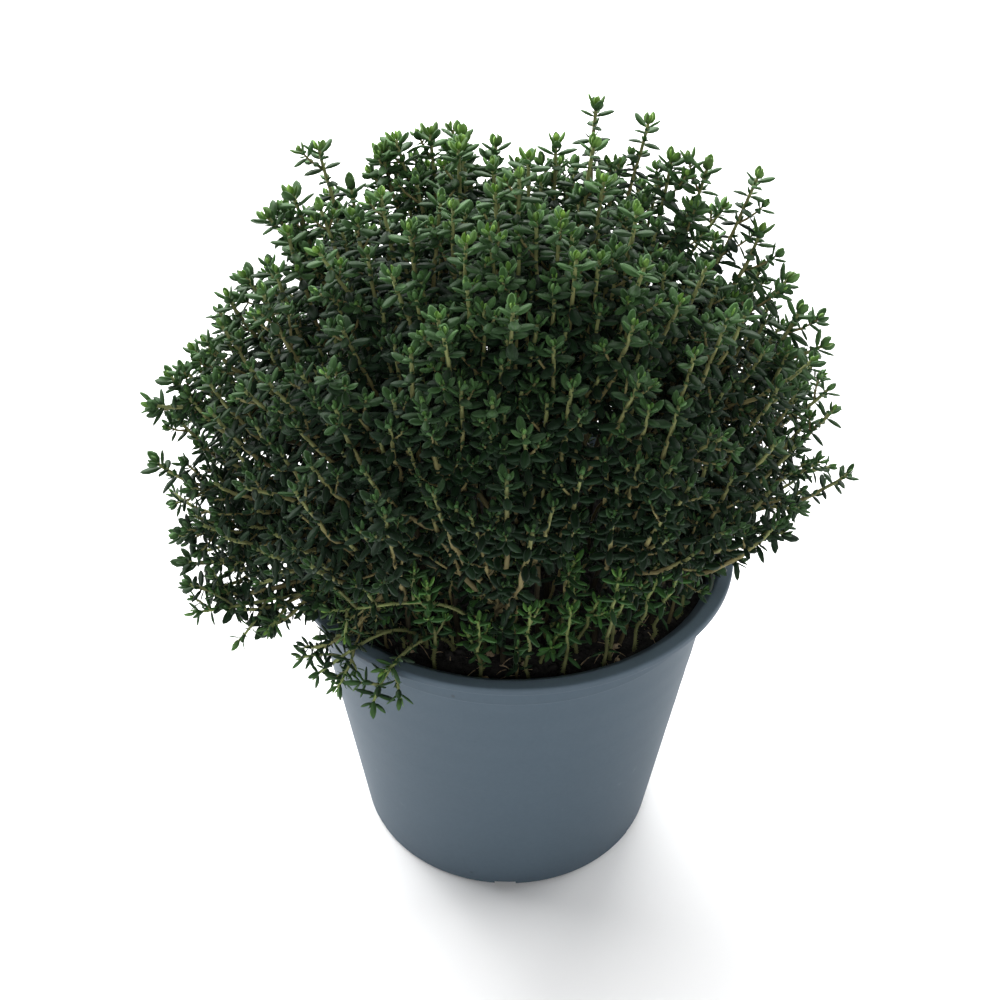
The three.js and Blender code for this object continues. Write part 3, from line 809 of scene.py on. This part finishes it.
def dress(tree, bsdf, colour, roughness, specular, sheen=0.0):
    for value, key in ((colour, "Base Color"), (roughness, "Roughness"),
                       (specular, "Specular IOR Level"), (sheen, "Sheen Weight")):
        join(tree, value, bsdf.inputs[key])


def attribute(tree, name):
    return node(tree, "Attribute", attribute_name=name).outputs["Fac"]


def ramp(tree, value, *stops):
    made = node(tree, "ValToRGB", {"Fac": value})
    elements = made.color_ramp.elements
    while len(elements) < len(stops):
        elements.new(0.5)
    for element, (position, colour) in zip(elements, stops):
        element.position, element.color = position, colour
    return made.outputs["Color"]


def mix(tree, factor, a, b, how="MIX"):
    made = node(tree, "Mix", {0: factor, 6: a, 7: b}, data_type="RGBA", blend_type=how)
    return made.outputs[2]


def tinted(tree, factor, colour, value, *stops):
    """A colour multiplied by the tints of a ramp."""
    return mix(tree, factor, colour, ramp(tree, value, *stops), "MULTIPLY")


def maths(tree, how, a, b, c=0.0, clamp=False):
    made = node(tree, "Math", {0: a, 1: b, 2: c}, operation=how, use_clamp=clamp)
    return made.outputs[0]


def noise(tree, where, scale, detail=3.0, roughness=0.55):
    inputs = {"Vector": where, "Scale": scale, "Detail": detail, "Roughness": roughness}
    return node(tree, "TexNoise", inputs).outputs["Fac"]


def cells(tree, where, scale):
    return node(tree, "TexVoronoi", {"Vector": where, "Scale": scale}).outputs["Distance"]


def bump(tree, bsdf, height, strength, distance):
    made = node(tree, "Bump", {"Height": height, "Strength": strength, "Distance": distance})
    tree.links.new(made.outputs["Normal"], bsdf.inputs["Normal"])


def leaf_material(name, tip, middle, old):
    """Leaves darken when older and with painted shade, in one value; each has a tone, a pale midrib, margin
    and underside.
    """
    made, tree, bsdf, where = material(name)
    colour = ramp(tree, attribute(tree, "age"), (0.0, tip), (0.14, middle), (0.6, old))
    colour = tinted(tree, 0.55, colour, attribute(tree, "tone"),
                    (0.0, (0.45, 0.5, 0.5, 1)), (0.5, grey(0.95)), (1.0, (1.45, 1.45, 1.25, 1)))
    blotches = noise(tree, where, scale=420.0)
    colour = tinted(tree, 0.35, colour, blotches, (0.3, (0.6, 0.62, 0.6, 1)), (0.7, (1.3, 1.3, 1.25, 1)))
    rib = attribute(tree, "rib")
    midrib = maths(tree, "SMOOTH_MAX", maths(tree, "SUBTRACT", 0.22, rib), 0.0, 0.05)
    midrib = maths(tree, "MULTIPLY", midrib, 2.4, clamp=True)
    margin = maths(tree, "SUBTRACT", rib, 0.78, clamp=True)
    margin = maths(tree, "MULTIPLY", margin, 1.6, clamp=True)
    colour = mix(tree, midrib, colour, (1.7, 1.6, 1.4, 1), "MULTIPLY")
    colour = mix(tree, margin, colour, (1.5, 1.4, 1.6, 1), "MULTIPLY")
    colour = mix(tree, attribute(tree, "under"), colour, (1.5, 1.3, 1.7, 1), "MULTIPLY")
    roughness = ramp(tree, blotches, (0.3, grey(0.56)), (0.7, grey(0.74)))
    dress(tree, bsdf, colour, roughness, specular=0.22, sheen=0.03)
    bump(tree, bsdf, cells(tree, where, scale=2600.0), strength=0.25, distance=0.0001)
    return made


def stem_material(name, tip, middle, old):
    """Green tips turn to brown bark, with streaks and a tone for each stem."""
    made, tree, bsdf, where = material(name)
    colour = ramp(tree, attribute(tree, "age"), (0.0, tip), (0.25, middle), (0.7, old))
    streaks = noise(tree, where, scale=260.0, detail=4.0)
    colour = tinted(tree, 0.6, colour, streaks, (0.32, (0.5, 0.49, 0.47, 1)), (0.68, (1.35, 1.32, 1.28, 1)))
    colour = tinted(tree, 0.5, colour, attribute(tree, "tone"),
                    (0.0, (0.84, 0.8, 0.76, 1)), (1.0, (1.2, 1.24, 1.16, 1)))
    dress(tree, bsdf, colour, roughness=0.75, specular=0.3)
    bump(tree, bsdf, noise(tree, where, scale=900.0, detail=4.0), strength=0.5, distance=0.0002)
    return made


# Painted light: the lip's upper face is made paler, against the shade that the foliage casts on it.
LIP_PAINTED_LIGHT = (1.5, 1.45, 1.38, 1.0)
LIP_LIGHT_DEPTH = 0.5


def plastic_material():
    """Slate grey plastic with a fine grain, a few dark specks, pale scuffs and painted light on the lip's
    upper face.
    """
    made, tree, bsdf, where = material("pot_plastic")
    cloud = noise(tree, where, scale=7.0)
    colour = ramp(tree, cloud, (0.3, srgb(70, 85, 97)), (0.7, srgb(77, 92, 104)))
    speckle = noise(tree, where, scale=700.0, detail=2.0)
    colour = tinted(tree, 0.18, colour, speckle, (0.35, (0.85, 0.86, 0.87, 1)), (0.65, grey(1.1)))
    specks = ramp(tree, cells(tree, where, scale=70.0), (0.03, grey(0.7)), (0.06, grey(0.0)))
    colour = mix(tree, specks, colour, srgb(58, 66, 72))
    scuffs = noise(tree, where, scale=46.0, detail=6.0, roughness=0.75)
    scuffs = ramp(tree, scuffs, (0.66, grey(0.0)), (0.8, grey(0.3)))
    colour = mix(tree, scuffs, colour, srgb(150, 160, 168))
    # Painted light on the top half millimetre of the pot, the lip's upper face.
    height = node(tree, "SeparateXYZ", {"Vector": where}).outputs["Z"]
    above = maths(tree, "SUBTRACT", height, (POT_HEIGHT - LIP_LIGHT_DEPTH) * MM)
    on_lip = maths(tree, "DIVIDE", above, LIP_LIGHT_DEPTH * MM, clamp=True)
    colour = mix(tree, on_lip, colour, LIP_PAINTED_LIGHT, "MULTIPLY")
    roughness = ramp(tree, cloud, (0.3, grey(0.55)), (0.7, grey(0.66)))
    dress(tree, bsdf, colour, roughness, specular=0.25)
    bump(tree, bsdf, noise(tree, where, scale=1500.0, detail=2.0), strength=0.1, distance=0.0001)
    return made


def peat_material(name, dark, light, scale):
    made, tree, bsdf, where = material(name)
    rough = noise(tree, where, scale * 1.7, detail=5.0, roughness=0.7)
    colour = ramp(tree, rough, (0.3, dark), (0.62, light))
    dress(tree, bsdf, colour, roughness=0.95, specular=0.15)
    height = maths(tree, "ADD", cells(tree, where, scale), rough)
    bump(tree, bsdf, height, strength=0.9, distance=0.0006)
    return made


BUSH_LEAF = leaf_material("thyme_leaf", srgb(94, 132, 48), srgb(57, 92, 45), srgb(16, 40, 19))
YOUNG_LEAF = leaf_material("young_thyme_leaf", srgb(86, 126, 52), srgb(58, 98, 46), srgb(40, 72, 38))
BUSH_STEM = stem_material("thyme_stem", srgb(122, 132, 84), srgb(126, 118, 80), srgb(50, 46, 34))
YOUNG_STEM = stem_material("young_thyme_stem", srgb(126, 144, 84), srgb(116, 122, 80), srgb(76, 74, 52))
PLASTIC = plastic_material()
PEAT = peat_material("peat_body", srgb(18, 19, 20), srgb(48, 46, 44), 420.0)
LITTER = peat_material("peat_litter", srgb(100, 86, 66), srgb(190, 172, 142), 700.0)


def finish_piece(obj, slot_name, *nodes):
    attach(obj, "root")
    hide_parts(*nodes)


# ---- the plant

def finish_plant(build, name, stem, leaf, slot_name, *nodes):
    place_leaves(build)
    finish_piece(build.to_object(f"thyme_{name}", [stem, leaf]), slot_name, *nodes)


# Short sprouts from the peat beside each stem's foot.
SPROUTS_PER_STEM = 2
SPROUT_REACH = 57.0
SPROUT = {**SPRIG, "scale": 0.85, "age": 0.4, "twigs": 0.0}


def basal_sprouts(build, root, draw):
    for _ in range(SPROUTS_PER_STEM):
        turn, away = 360 * draw(), 4 + 5 * draw()
        foot = root + polar(turn, away, 0)
        spread = hypot(foot[0], foot[1])
        if spread > SPROUT_REACH:
            foot[:2] *= SPROUT_REACH / spread
        height = 12 + 24 * draw()
        heading = degrees(atan2(foot[1], foot[0])) + jitter(draw, 80)
        tip = foot + polar(heading, 0.3 * height, 0) + UP * (STEM_DEPTH + height)
        path = Path(foot, foot + UP * (STEM_DEPTH + 0.4 * height), tip).wobble(draw, 0.8)
        if path.is_free(30, 0.8):
            grow(build, path, draw, SPRIG_RADII, (0.7, 0.1), height * 0.9, SPROUT)


for i, plan in enumerate(all_tips(plan_stems())):
    draw = seeded(STEM_SEED + i)
    build = Build()
    main = plan["main"].shorten(TUFT_REACH).wobble(draw, 0.5)
    leafy = min(MAIN_LEAFY, 0.78 * main.length)
    grow(build, main, draw, STEM_RADII, (1.0, 0.0), leafy, style_of(plan["shoots"][0]))
    for shoot in plan["shoots"][1:]:
        path = shoot_path(main, shoot["fork"], shoot["tip"]).shorten(TUFT_REACH).wobble(draw, 0.4)
        leafy = min(SHOOT_LEAFY, 0.97 * path.length)
        ages = (0.75 - 0.4 * shoot["fork"], 0.0)
        grow(build, path, draw, SHOOT_RADII, ages, leafy, style_of(shoot))
    basal_sprouts(build, plan["root"], draw)
    name = f"leafy_stem_{i + 1:02d}"
    finish_plant(build, name, BUSH_STEM, BUSH_LEAF, "thyme_foliage", name)

# Sprouts beside each young shoot: [azimuth, distance, height, sideways lean]
YOUNG_SPROUTS = [
    [(-59, 56, 30, 1), (-50, 56, 28, 3), (-43, 57, 26, 4), (-31, 58, 24, 5), (-66, 47, 30, -3)],
    [(-76, 40, 12, 6), (-68, 50, 22, 5), (-71, 44, 34, 2)],
    [(-88, 40, 36, 0), (-80, 51, 13, 5), (-86, 50, 22, -4)],
    [(-93.5, 47, 26, -6), (-103, 42, 38, 2), (-97, 53, 14, -5)],
    [(-109, 48, 22, -7), (-118, 50, 26, -5), (-124, 54, 20, -6)],
]

for i, (azimuth, distance, height) in enumerate(YOUNG_SHOOTS):
    draw = seeded(YOUNG_SEED + i)
    build = Build()
    for turn, away, tall, aside in [(azimuth, distance, height, 0)] + YOUNG_SPROUTS[i]:
        root = polar(turn, away, SOIL_TOP - STEM_DEPTH)
        tip = polar(turn, away + YOUNG_SPREAD * tall, SOIL_TOP + tall) + np.array([aside, 0.0, 0.0])
        path = main_path(root, tip).wobble(draw, 0.7)
        grow(build, path, draw, YOUNG_RADII, (0.6, 0.0), tall * 0.88, YOUNG)
        hairs(build, path, YOUNG_RADII, draw)
    name = f"young_shoot_{i + 1}"
    finish_plant(build, name, YOUNG_STEM, YOUNG_LEAF, "young_foliage", name)

# The sprigs over the rim, the stem that lies at the front left and the low one behind it: name,
# share with leaves, control points from the rim's middle, and branches, as [share, tip].
SPRIGS_IN_SOLIDS = 2
SPRIGS = [
    ("rim_sprig_1", 0.72, [(-22, -42, -17), (-27, -46, 14), (-42, -64, 8), (-55, -56, -9)],
     [(0.5, (-53, -50, 0)), (0.78, (-60, -50, -8)), (0.7, (-48, -62, -8))]),
    ("rim_sprig_2", 0.72, [(-14, -43, -17), (-18, -48, 13), (-34, -70, 10), (-38, -65, -12)],
     [(0.6, (-34, -66, 2)), (0.72, (-30, -67, -7)), (0.84, (-42, -62, -6))]),
    ("lying_stem", 0.3, [(-6, -42, -17), (-8, -57, 30), (-30, -60, 20), (-50, -55, 14)],
     [(0.66, (-27, -54, 33)), (0.8, (-40, -60, 28)), (0.88, (-51, -52, 23)), (0.92, (-45, -60, 9))]),
    ("low_stem", 0.72, [(-30, -30, -14), (-34, -34, 16), (-62, -46, 10), (-92, -39, -1)],
     [(0.6, (-68, -52, 4)), (0.7, (-78, -48, -4)), (0.82, (-88, -30, 5))]),
]

for i, (name, leafy, line, branches) in enumerate(SPRIGS):
    draw = seeded(SPRIG_SEED + i)
    build = Build()
    path = Path(*above_rim(line))
    grow(build, path, draw, SPRIG_RADII, (0.7, 0.0), leafy * path.length, SPRIG)
    hairs(build, path, SPRIG_RADII, draw)
    for share, tip in branches:
        branch = branch_path(path, share, *above_rim([tip]))
        if branch.is_free(6, 0.4):
            grow(build, branch, draw, BRANCH_RADII, (0.4, 0.0), 0.95 * branch.length, SPRIG)
            hairs(build, branch, BRANCH_RADII, draw)
    nodes = [name] if i < SPRIGS_IN_SOLIDS else []
    finish_plant(build, name, YOUNG_STEM, BUSH_LEAF, "thyme_foliage", *nodes)


# ---- the peat

def crumb_shape():
    """A small lump: an octahedron with its edges split."""
    points = [(1, 0, 0), (-1, 0, 0), (0, 1, 0), (0, -1, 0), (0, 0, 1), (0, 0, -1)]
    faces = [(0, 2, 4), (2, 1, 4), (1, 3, 4), (3, 0, 4), (2, 0, 5), (1, 2, 5), (3, 1, 5), (0, 3, 5)]
    halves, split = {}, []

    def halfway(a, b):
        key = (min(a, b), max(a, b))
        if key not in halves:
            halves[key] = len(points)
            points.append(tuple(unit(np.array(points[a], float) + np.array(points[b], float))))
        return halves[key]

    for a, b, c in faces:
        ab, bc, ca = halfway(a, b), halfway(b, c), halfway(c, a)
        split += [(a, ab, ca), (ab, b, bc), (ca, bc, c), (ab, bc, ca)]
    return np.array(points, float), np.array(split)


# Small waves on the peat: rates along x and y, start and height.
SOIL_WAVES = [
    (1.9, 0.7, 0.3, 0.16), (-0.8, 2.1, 1.9, 0.16), (2.9, -2.3, 4.1, 0.12), (3.7, 3.1, 2.2, 0.1),
    (0.9, -3.9, 5.3, 0.1),
]
SOIL_SECTORS = 150
SOIL_RINGS = 44
CRUMB_COUNT = 1100
PALE_SHARE = 0.1
LARGEST_PALE = 1.0
FIBRE_COUNT = 140
BODY, PALE = 0, 1


def fine_soil(x, y):
    rough = sum(size * np.sin(x * along + y * across + start) for along, across, start, size in SOIL_WAVES)
    return soil_height(x, y) + rough


def on_soil(draw, furthest, least=0.0):
    """A point of the peat's top, spread evenly over its area."""
    radius = furthest * sqrt(least + (1 - least) * draw())
    angle = any_turn(draw)
    x, y = radius * cos(angle), radius * sin(angle)
    return np.array([x, y, float(fine_soil(x, y))])


def peat_body(build, edge):
    bottom = FLOOR_TOP + GAP
    angles = np.arange(SOIL_SECTORS) * tau / SOIL_SECTORS
    points = [np.array([[0.0, 0.0, float(fine_soil(0.0, 0.0))]])]
    for k in range(1, SOIL_RINGS + 1):
        radius = edge * (k / SOIL_RINGS)
        rim = SOIL_TOP + 0.25 * np.sin(7 * angles)
        inside = fine_soil(radius * np.cos(angles), radius * np.sin(angles))
        points.append(ring_points(radius, inside if radius < edge - 1 else rim, angles))
    points.append(ring_points(inner_wall_radius(bottom) - GAP, bottom, angles))
    ring = np.arange(SOIL_SECTORS)
    fan = np.stack([0 * ring, 1 + ring, 1 + (ring + 1) % SOIL_SECTORS], axis=1)
    base = 1 + SOIL_RINGS * SOIL_SECTORS + ring[None, ::-1]
    walls = ring_quads(SOIL_SECTORS, SOIL_RINGS + 1, first=1)[:, [0, 3, 2, 1]]
    build.add(np.concatenate(points), [walls, fan, base], BODY)


def add_crumb(build, draw, shape, faces, edge):
    place_at = on_soil(draw, edge - 1.5)
    size = 0.35 + 1.1 * draw() ** 2
    pale = draw() < PALE_SHARE
    size = min(size, LARGEST_PALE) if pale else size
    stretch = size * np.array([0.7 + 0.9 * draw(), 0.7 + 0.9 * draw(), 0.5 + 0.5 * draw()])
    rates = np.array([5 + 3 * draw(), 4 + 3 * draw(), 6 * draw()])
    lumps = 1 + 0.22 * np.sin(shape @ rates + 6 * draw())
    turn = Matrix.Rotation(any_turn(draw), 3, "Z") @ Matrix.Rotation(0.6 * draw(), 3, "X")
    crumb = (shape * lumps[:, None] * stretch) @ np.array(turn).T
    build.add(crumb + place_at + 0.25 * size * UP, [faces], PALE if pale else BODY)


def add_fibre(build, draw, edge):
    middle = on_soil(draw, edge - 4, least=0.25) + 0.6 * UP
    heading, length = any_turn(draw), 2.5 + 5 * draw()
    step = np.array([cos(heading), sin(heading), 0.0]) * length / 2
    ends = [middle - step, middle + step]
    for end in ends:
        end[2] = float(fine_soil(end[0], end[1])) + 0.25
    path = Path(ends[0], middle + 0.8 * UP, ends[1])
    tube(build, path, (0.13 + 0.14 * draw(), 0.1), (0, 0), draw, kind=PALE, sides=4, step=1.2)


build = Build()
edge = inner_wall_radius(SOIL_TOP) - GAP
peat_body(build, edge)
draw = seeded(PEAT_SEED)
crumb, crumb_faces = crumb_shape()
for _ in range(CRUMB_COUNT):
    add_crumb(build, draw, crumb, crumb_faces, edge)
for _ in range(FIBRE_COUNT):
    add_fibre(build, draw, edge)
finish_piece(build.to_object("peat_fill", [PEAT, LITTER]), "peat", "soil")


# ---- the pot

def rounded(profile, steps=4):
    """The outline, with an arc at each corner that has a radius after its place."""
    out = []
    for i, (x, z, *radius) in enumerate(profile):
        if not radius:
            out.append((x, z))
            continue
        p, before, after = (np.array(profile[j][:2], float) for j in (i, i - 1, i + 1))
        start, end = p + unit(before - p) * radius[0], p + unit(after - p) * radius[0]
        for s in range(steps + 1):
            t = s / steps
            out.append(tuple((1 - t) ** 2 * start + 2 * t * (1 - t) * p + t ** 2 * end))
    return out


def lathe_object(name, profile, sides):
    """A body turned about the pot's axis, where its profile starts and ends."""
    build = Build()
    angles = np.arange(sides) * tau / sides
    foot, top = (np.array([[0.0, 0.0, height]]) for _, height in (profile[0], profile[-1]))
    rings = [ring_points(radius, height, angles) for radius, height in profile[1:-1]]
    ring = np.arange(sides)
    after = (ring + 1) % sides
    last = 1 + (len(rings) - 1) * sides
    low = np.stack([0 * ring, 1 + after, 1 + ring], axis=1)
    high = np.stack([0 * ring + last + sides, last + ring, last + after], axis=1)
    quads = ring_quads(sides, len(rings), first=1)
    build.add(np.concatenate([foot, *rings, top]), [quads, low, high], BODY)
    return build.to_object(name, [PLASTIC])


def prism(outline, low, high, turn):
    """An upright prism over a flat outline, turned about the pot's axis."""
    c, s = cos(radians(turn)), sin(radians(turn))
    n = len(outline)
    points = [((x * c - y * s) * MM, (x * s + y * c) * MM, z * MM) for z in (low, high) for x, y in outline]
    faces = [tuple(range(n))[::-1], tuple(range(n, 2 * n))]
    faces += [(k, (k + 1) % n, n + (k + 1) % n, n + k) for k in range(n)]
    return points, faces


POT_SIDES = 160
DRAIN_SIDES = 28
SHARP_ANGLE = 35.0
RIPPLE_STEPS = 64
RIPPLE_SIZE = 0.05
WALL_FOOT = (BASE_RADIUS + 0.25, BASE_CORNER + 0.2)


def wall_ripples(top):
    """Faint rings that the mould leaves, stronger towards the top."""
    radii, heights = zip(WALL_FOOT, (NECK_RADIUS - COLLAR_STEP, top))
    rings = []
    for k in range(1, RIPPLE_STEPS):
        share = k / RIPPLE_STEPS
        swell = RIPPLE_SIZE * share ** 2 * (sin(0.9 * k) + 0.6 * sin(0.37 * k + 1))
        rings.append((blend(radii, share) + swell, blend(heights, share)))
    return rings


def cut_holes(pot):
    """The drain holes, and the notches of the foot ring halfway between them."""
    distance = (CENTRE_PAD + FOOT_RING) / 2
    circle = [(distance + DRAIN_RADIUS * cos(a), DRAIN_RADIUS * sin(a))
              for a in np.linspace(0, tau, DRAIN_SIDES, endpoint=False)]
    inner, outer, half = FOOT_RING - 2 * FOOT_SLOPE - 2, BASE_RADIUS + 3, NOTCH_WIDTH / 2
    bar = [(inner, -half), (outer, -half), (outer, half), (inner, half)]
    points, faces = [], []
    for k in range(DRAIN_COUNT):
        turn = 360 * k / DRAIN_COUNT
        halfway = turn + 180 / DRAIN_COUNT
        for outline, top, angle in ((circle, 2 * FLOOR_TOP, turn), (bar, NOTCH_HEIGHT, halfway)):
            more, sides = prism(outline, -2, top, angle)
            faces += [tuple(len(points) + c for c in face) for face in sides]
            points += more
    tool = plain_object("cutter", points, faces)
    cut = pot.modifiers.new("cut", "BOOLEAN")
    cut.object, cut.operation, cut.solver = tool, "DIFFERENCE", "EXACT"
    done = bpy.data.meshes.new_from_object(pot.evaluated_get(bpy.context.evaluated_depsgraph_get()))
    pot.modifiers.clear()
    pot.data = done
    bpy.data.objects.remove(tool)
    done.shade_smooth()
    done.set_sharp_from_angle(angle=radians(SHARP_ANGLE))


collar = POT_HEIGHT - COLLAR_DEPTH
under = POT_HEIGHT - LIP_DEPTH
profile = [
    (0, 0), (CENTRE_PAD, 0), (CENTRE_PAD + FOOT_SLOPE, FOOT_RISE),
    (FOOT_RING - FOOT_SLOPE, FOOT_RISE), (FOOT_RING, 0, 0.4), (BASE_RADIUS - 0.2, 0, 1.4), WALL_FOOT,
    *wall_ripples(collar),
    (NECK_RADIUS - COLLAR_STEP, collar), (NECK_RADIUS, collar + COLLAR_STEP, 0.3),
    (NECK_RADIUS, under, 0.6), (RIM_RADIUS, under, 0.5), (RIM_RADIUS, POT_HEIGHT, 0.8),
    (RIM_RADIUS - LIP_WIDTH, POT_HEIGHT, 0.7), (NECK_RADIUS - WALL, under, 1.0),
    (BASE_RADIUS - WALL, FLOOR_TOP, 1.2), (0, FLOOR_TOP),
]
pot = lathe_object("nursery_pot", rounded(profile), POT_SIDES)
cut_holes(pot)
finish_piece(pot, "pot_plastic", "pot")


# ---- camera, floor and light

# Millimetres, and degrees about X, Y and Z.
CAMERA_PLACE = (0.0, -319.5, 348.7)
CAMERA_TURNS = (54.65, -0.47, 0.97)
FILM_WIDTH = 36.0
LENS_LENGTH = 45.39

optics = bpy.data.cameras.new("camera")
optics.sensor_width = FILM_WIDTH
optics.lens = LENS_LENGTH
optics.clip_start = 0.01
camera = new_object("camera", optics)
camera.location = Vector(CAMERA_PLACE) * MM
camera.rotation_euler = [radians(turn) for turn in CAMERA_TURNS]
bpy.context.scene.camera = camera

# From here on lengths are metres, and powers are watts.
FLOOR_REACH = 30.0

corners = [(x * FLOOR_REACH, y * FLOOR_REACH, 0) for x, y in ((-1, -1), (1, -1), (1, 1), (-1, 1))]
floor = plain_object("floor", corners, [(0, 1, 2, 3)])
paper, tree, bsdf, where = material("pale_floor")
shade = ramp(tree, noise(tree, where, scale=3.0, detail=2.0), (0.3, grey(0.9)), (0.7, grey(0.92)))
dress(tree, bsdf, shade, roughness=0.9, specular=0.1)
floor.data.materials.append(paper)

world = bpy.data.worlds.new("studio")
world.use_nodes = True
bpy.context.scene.world = world
sky = world.node_tree.nodes["Background"]
sky.inputs["Color"].default_value = (0.95, 0.97, 1.0, 1)
sky.inputs["Strength"].default_value = 0.07


def softbox(name, place_at, aim, width, height, power):
    data = bpy.data.lights.new(name, "AREA")
    data.shape, data.size, data.size_y, data.energy = "RECTANGLE", width, height, power
    lamp = new_object(name, data)
    lamp.location = place_at
    lamp.rotation_euler = (Vector(aim) - Vector(place_at)).to_track_quat("-Z", "Y").to_euler()


MIDDLE = (0, 0, 0.15)
softbox("overhead", (-0.3, 1.75, 1.75), MIDDLE, width=3.2, height=2.2, power=182)
softbox("left_fill", (-1.6, 0.8, 1.45), MIDDLE, width=1.3, height=1.1, power=46)
softbox("right_fill", (1.6, 0.8, 1.45), MIDDLE, width=1.3, height=1.1, power=26)
softbox("front_fill", (0, -1.7, 1.15), (0, 0, 0.03), width=2.0, height=0.6, power=15)

bpy.context.scene.view_settings.view_transform = "Standard"
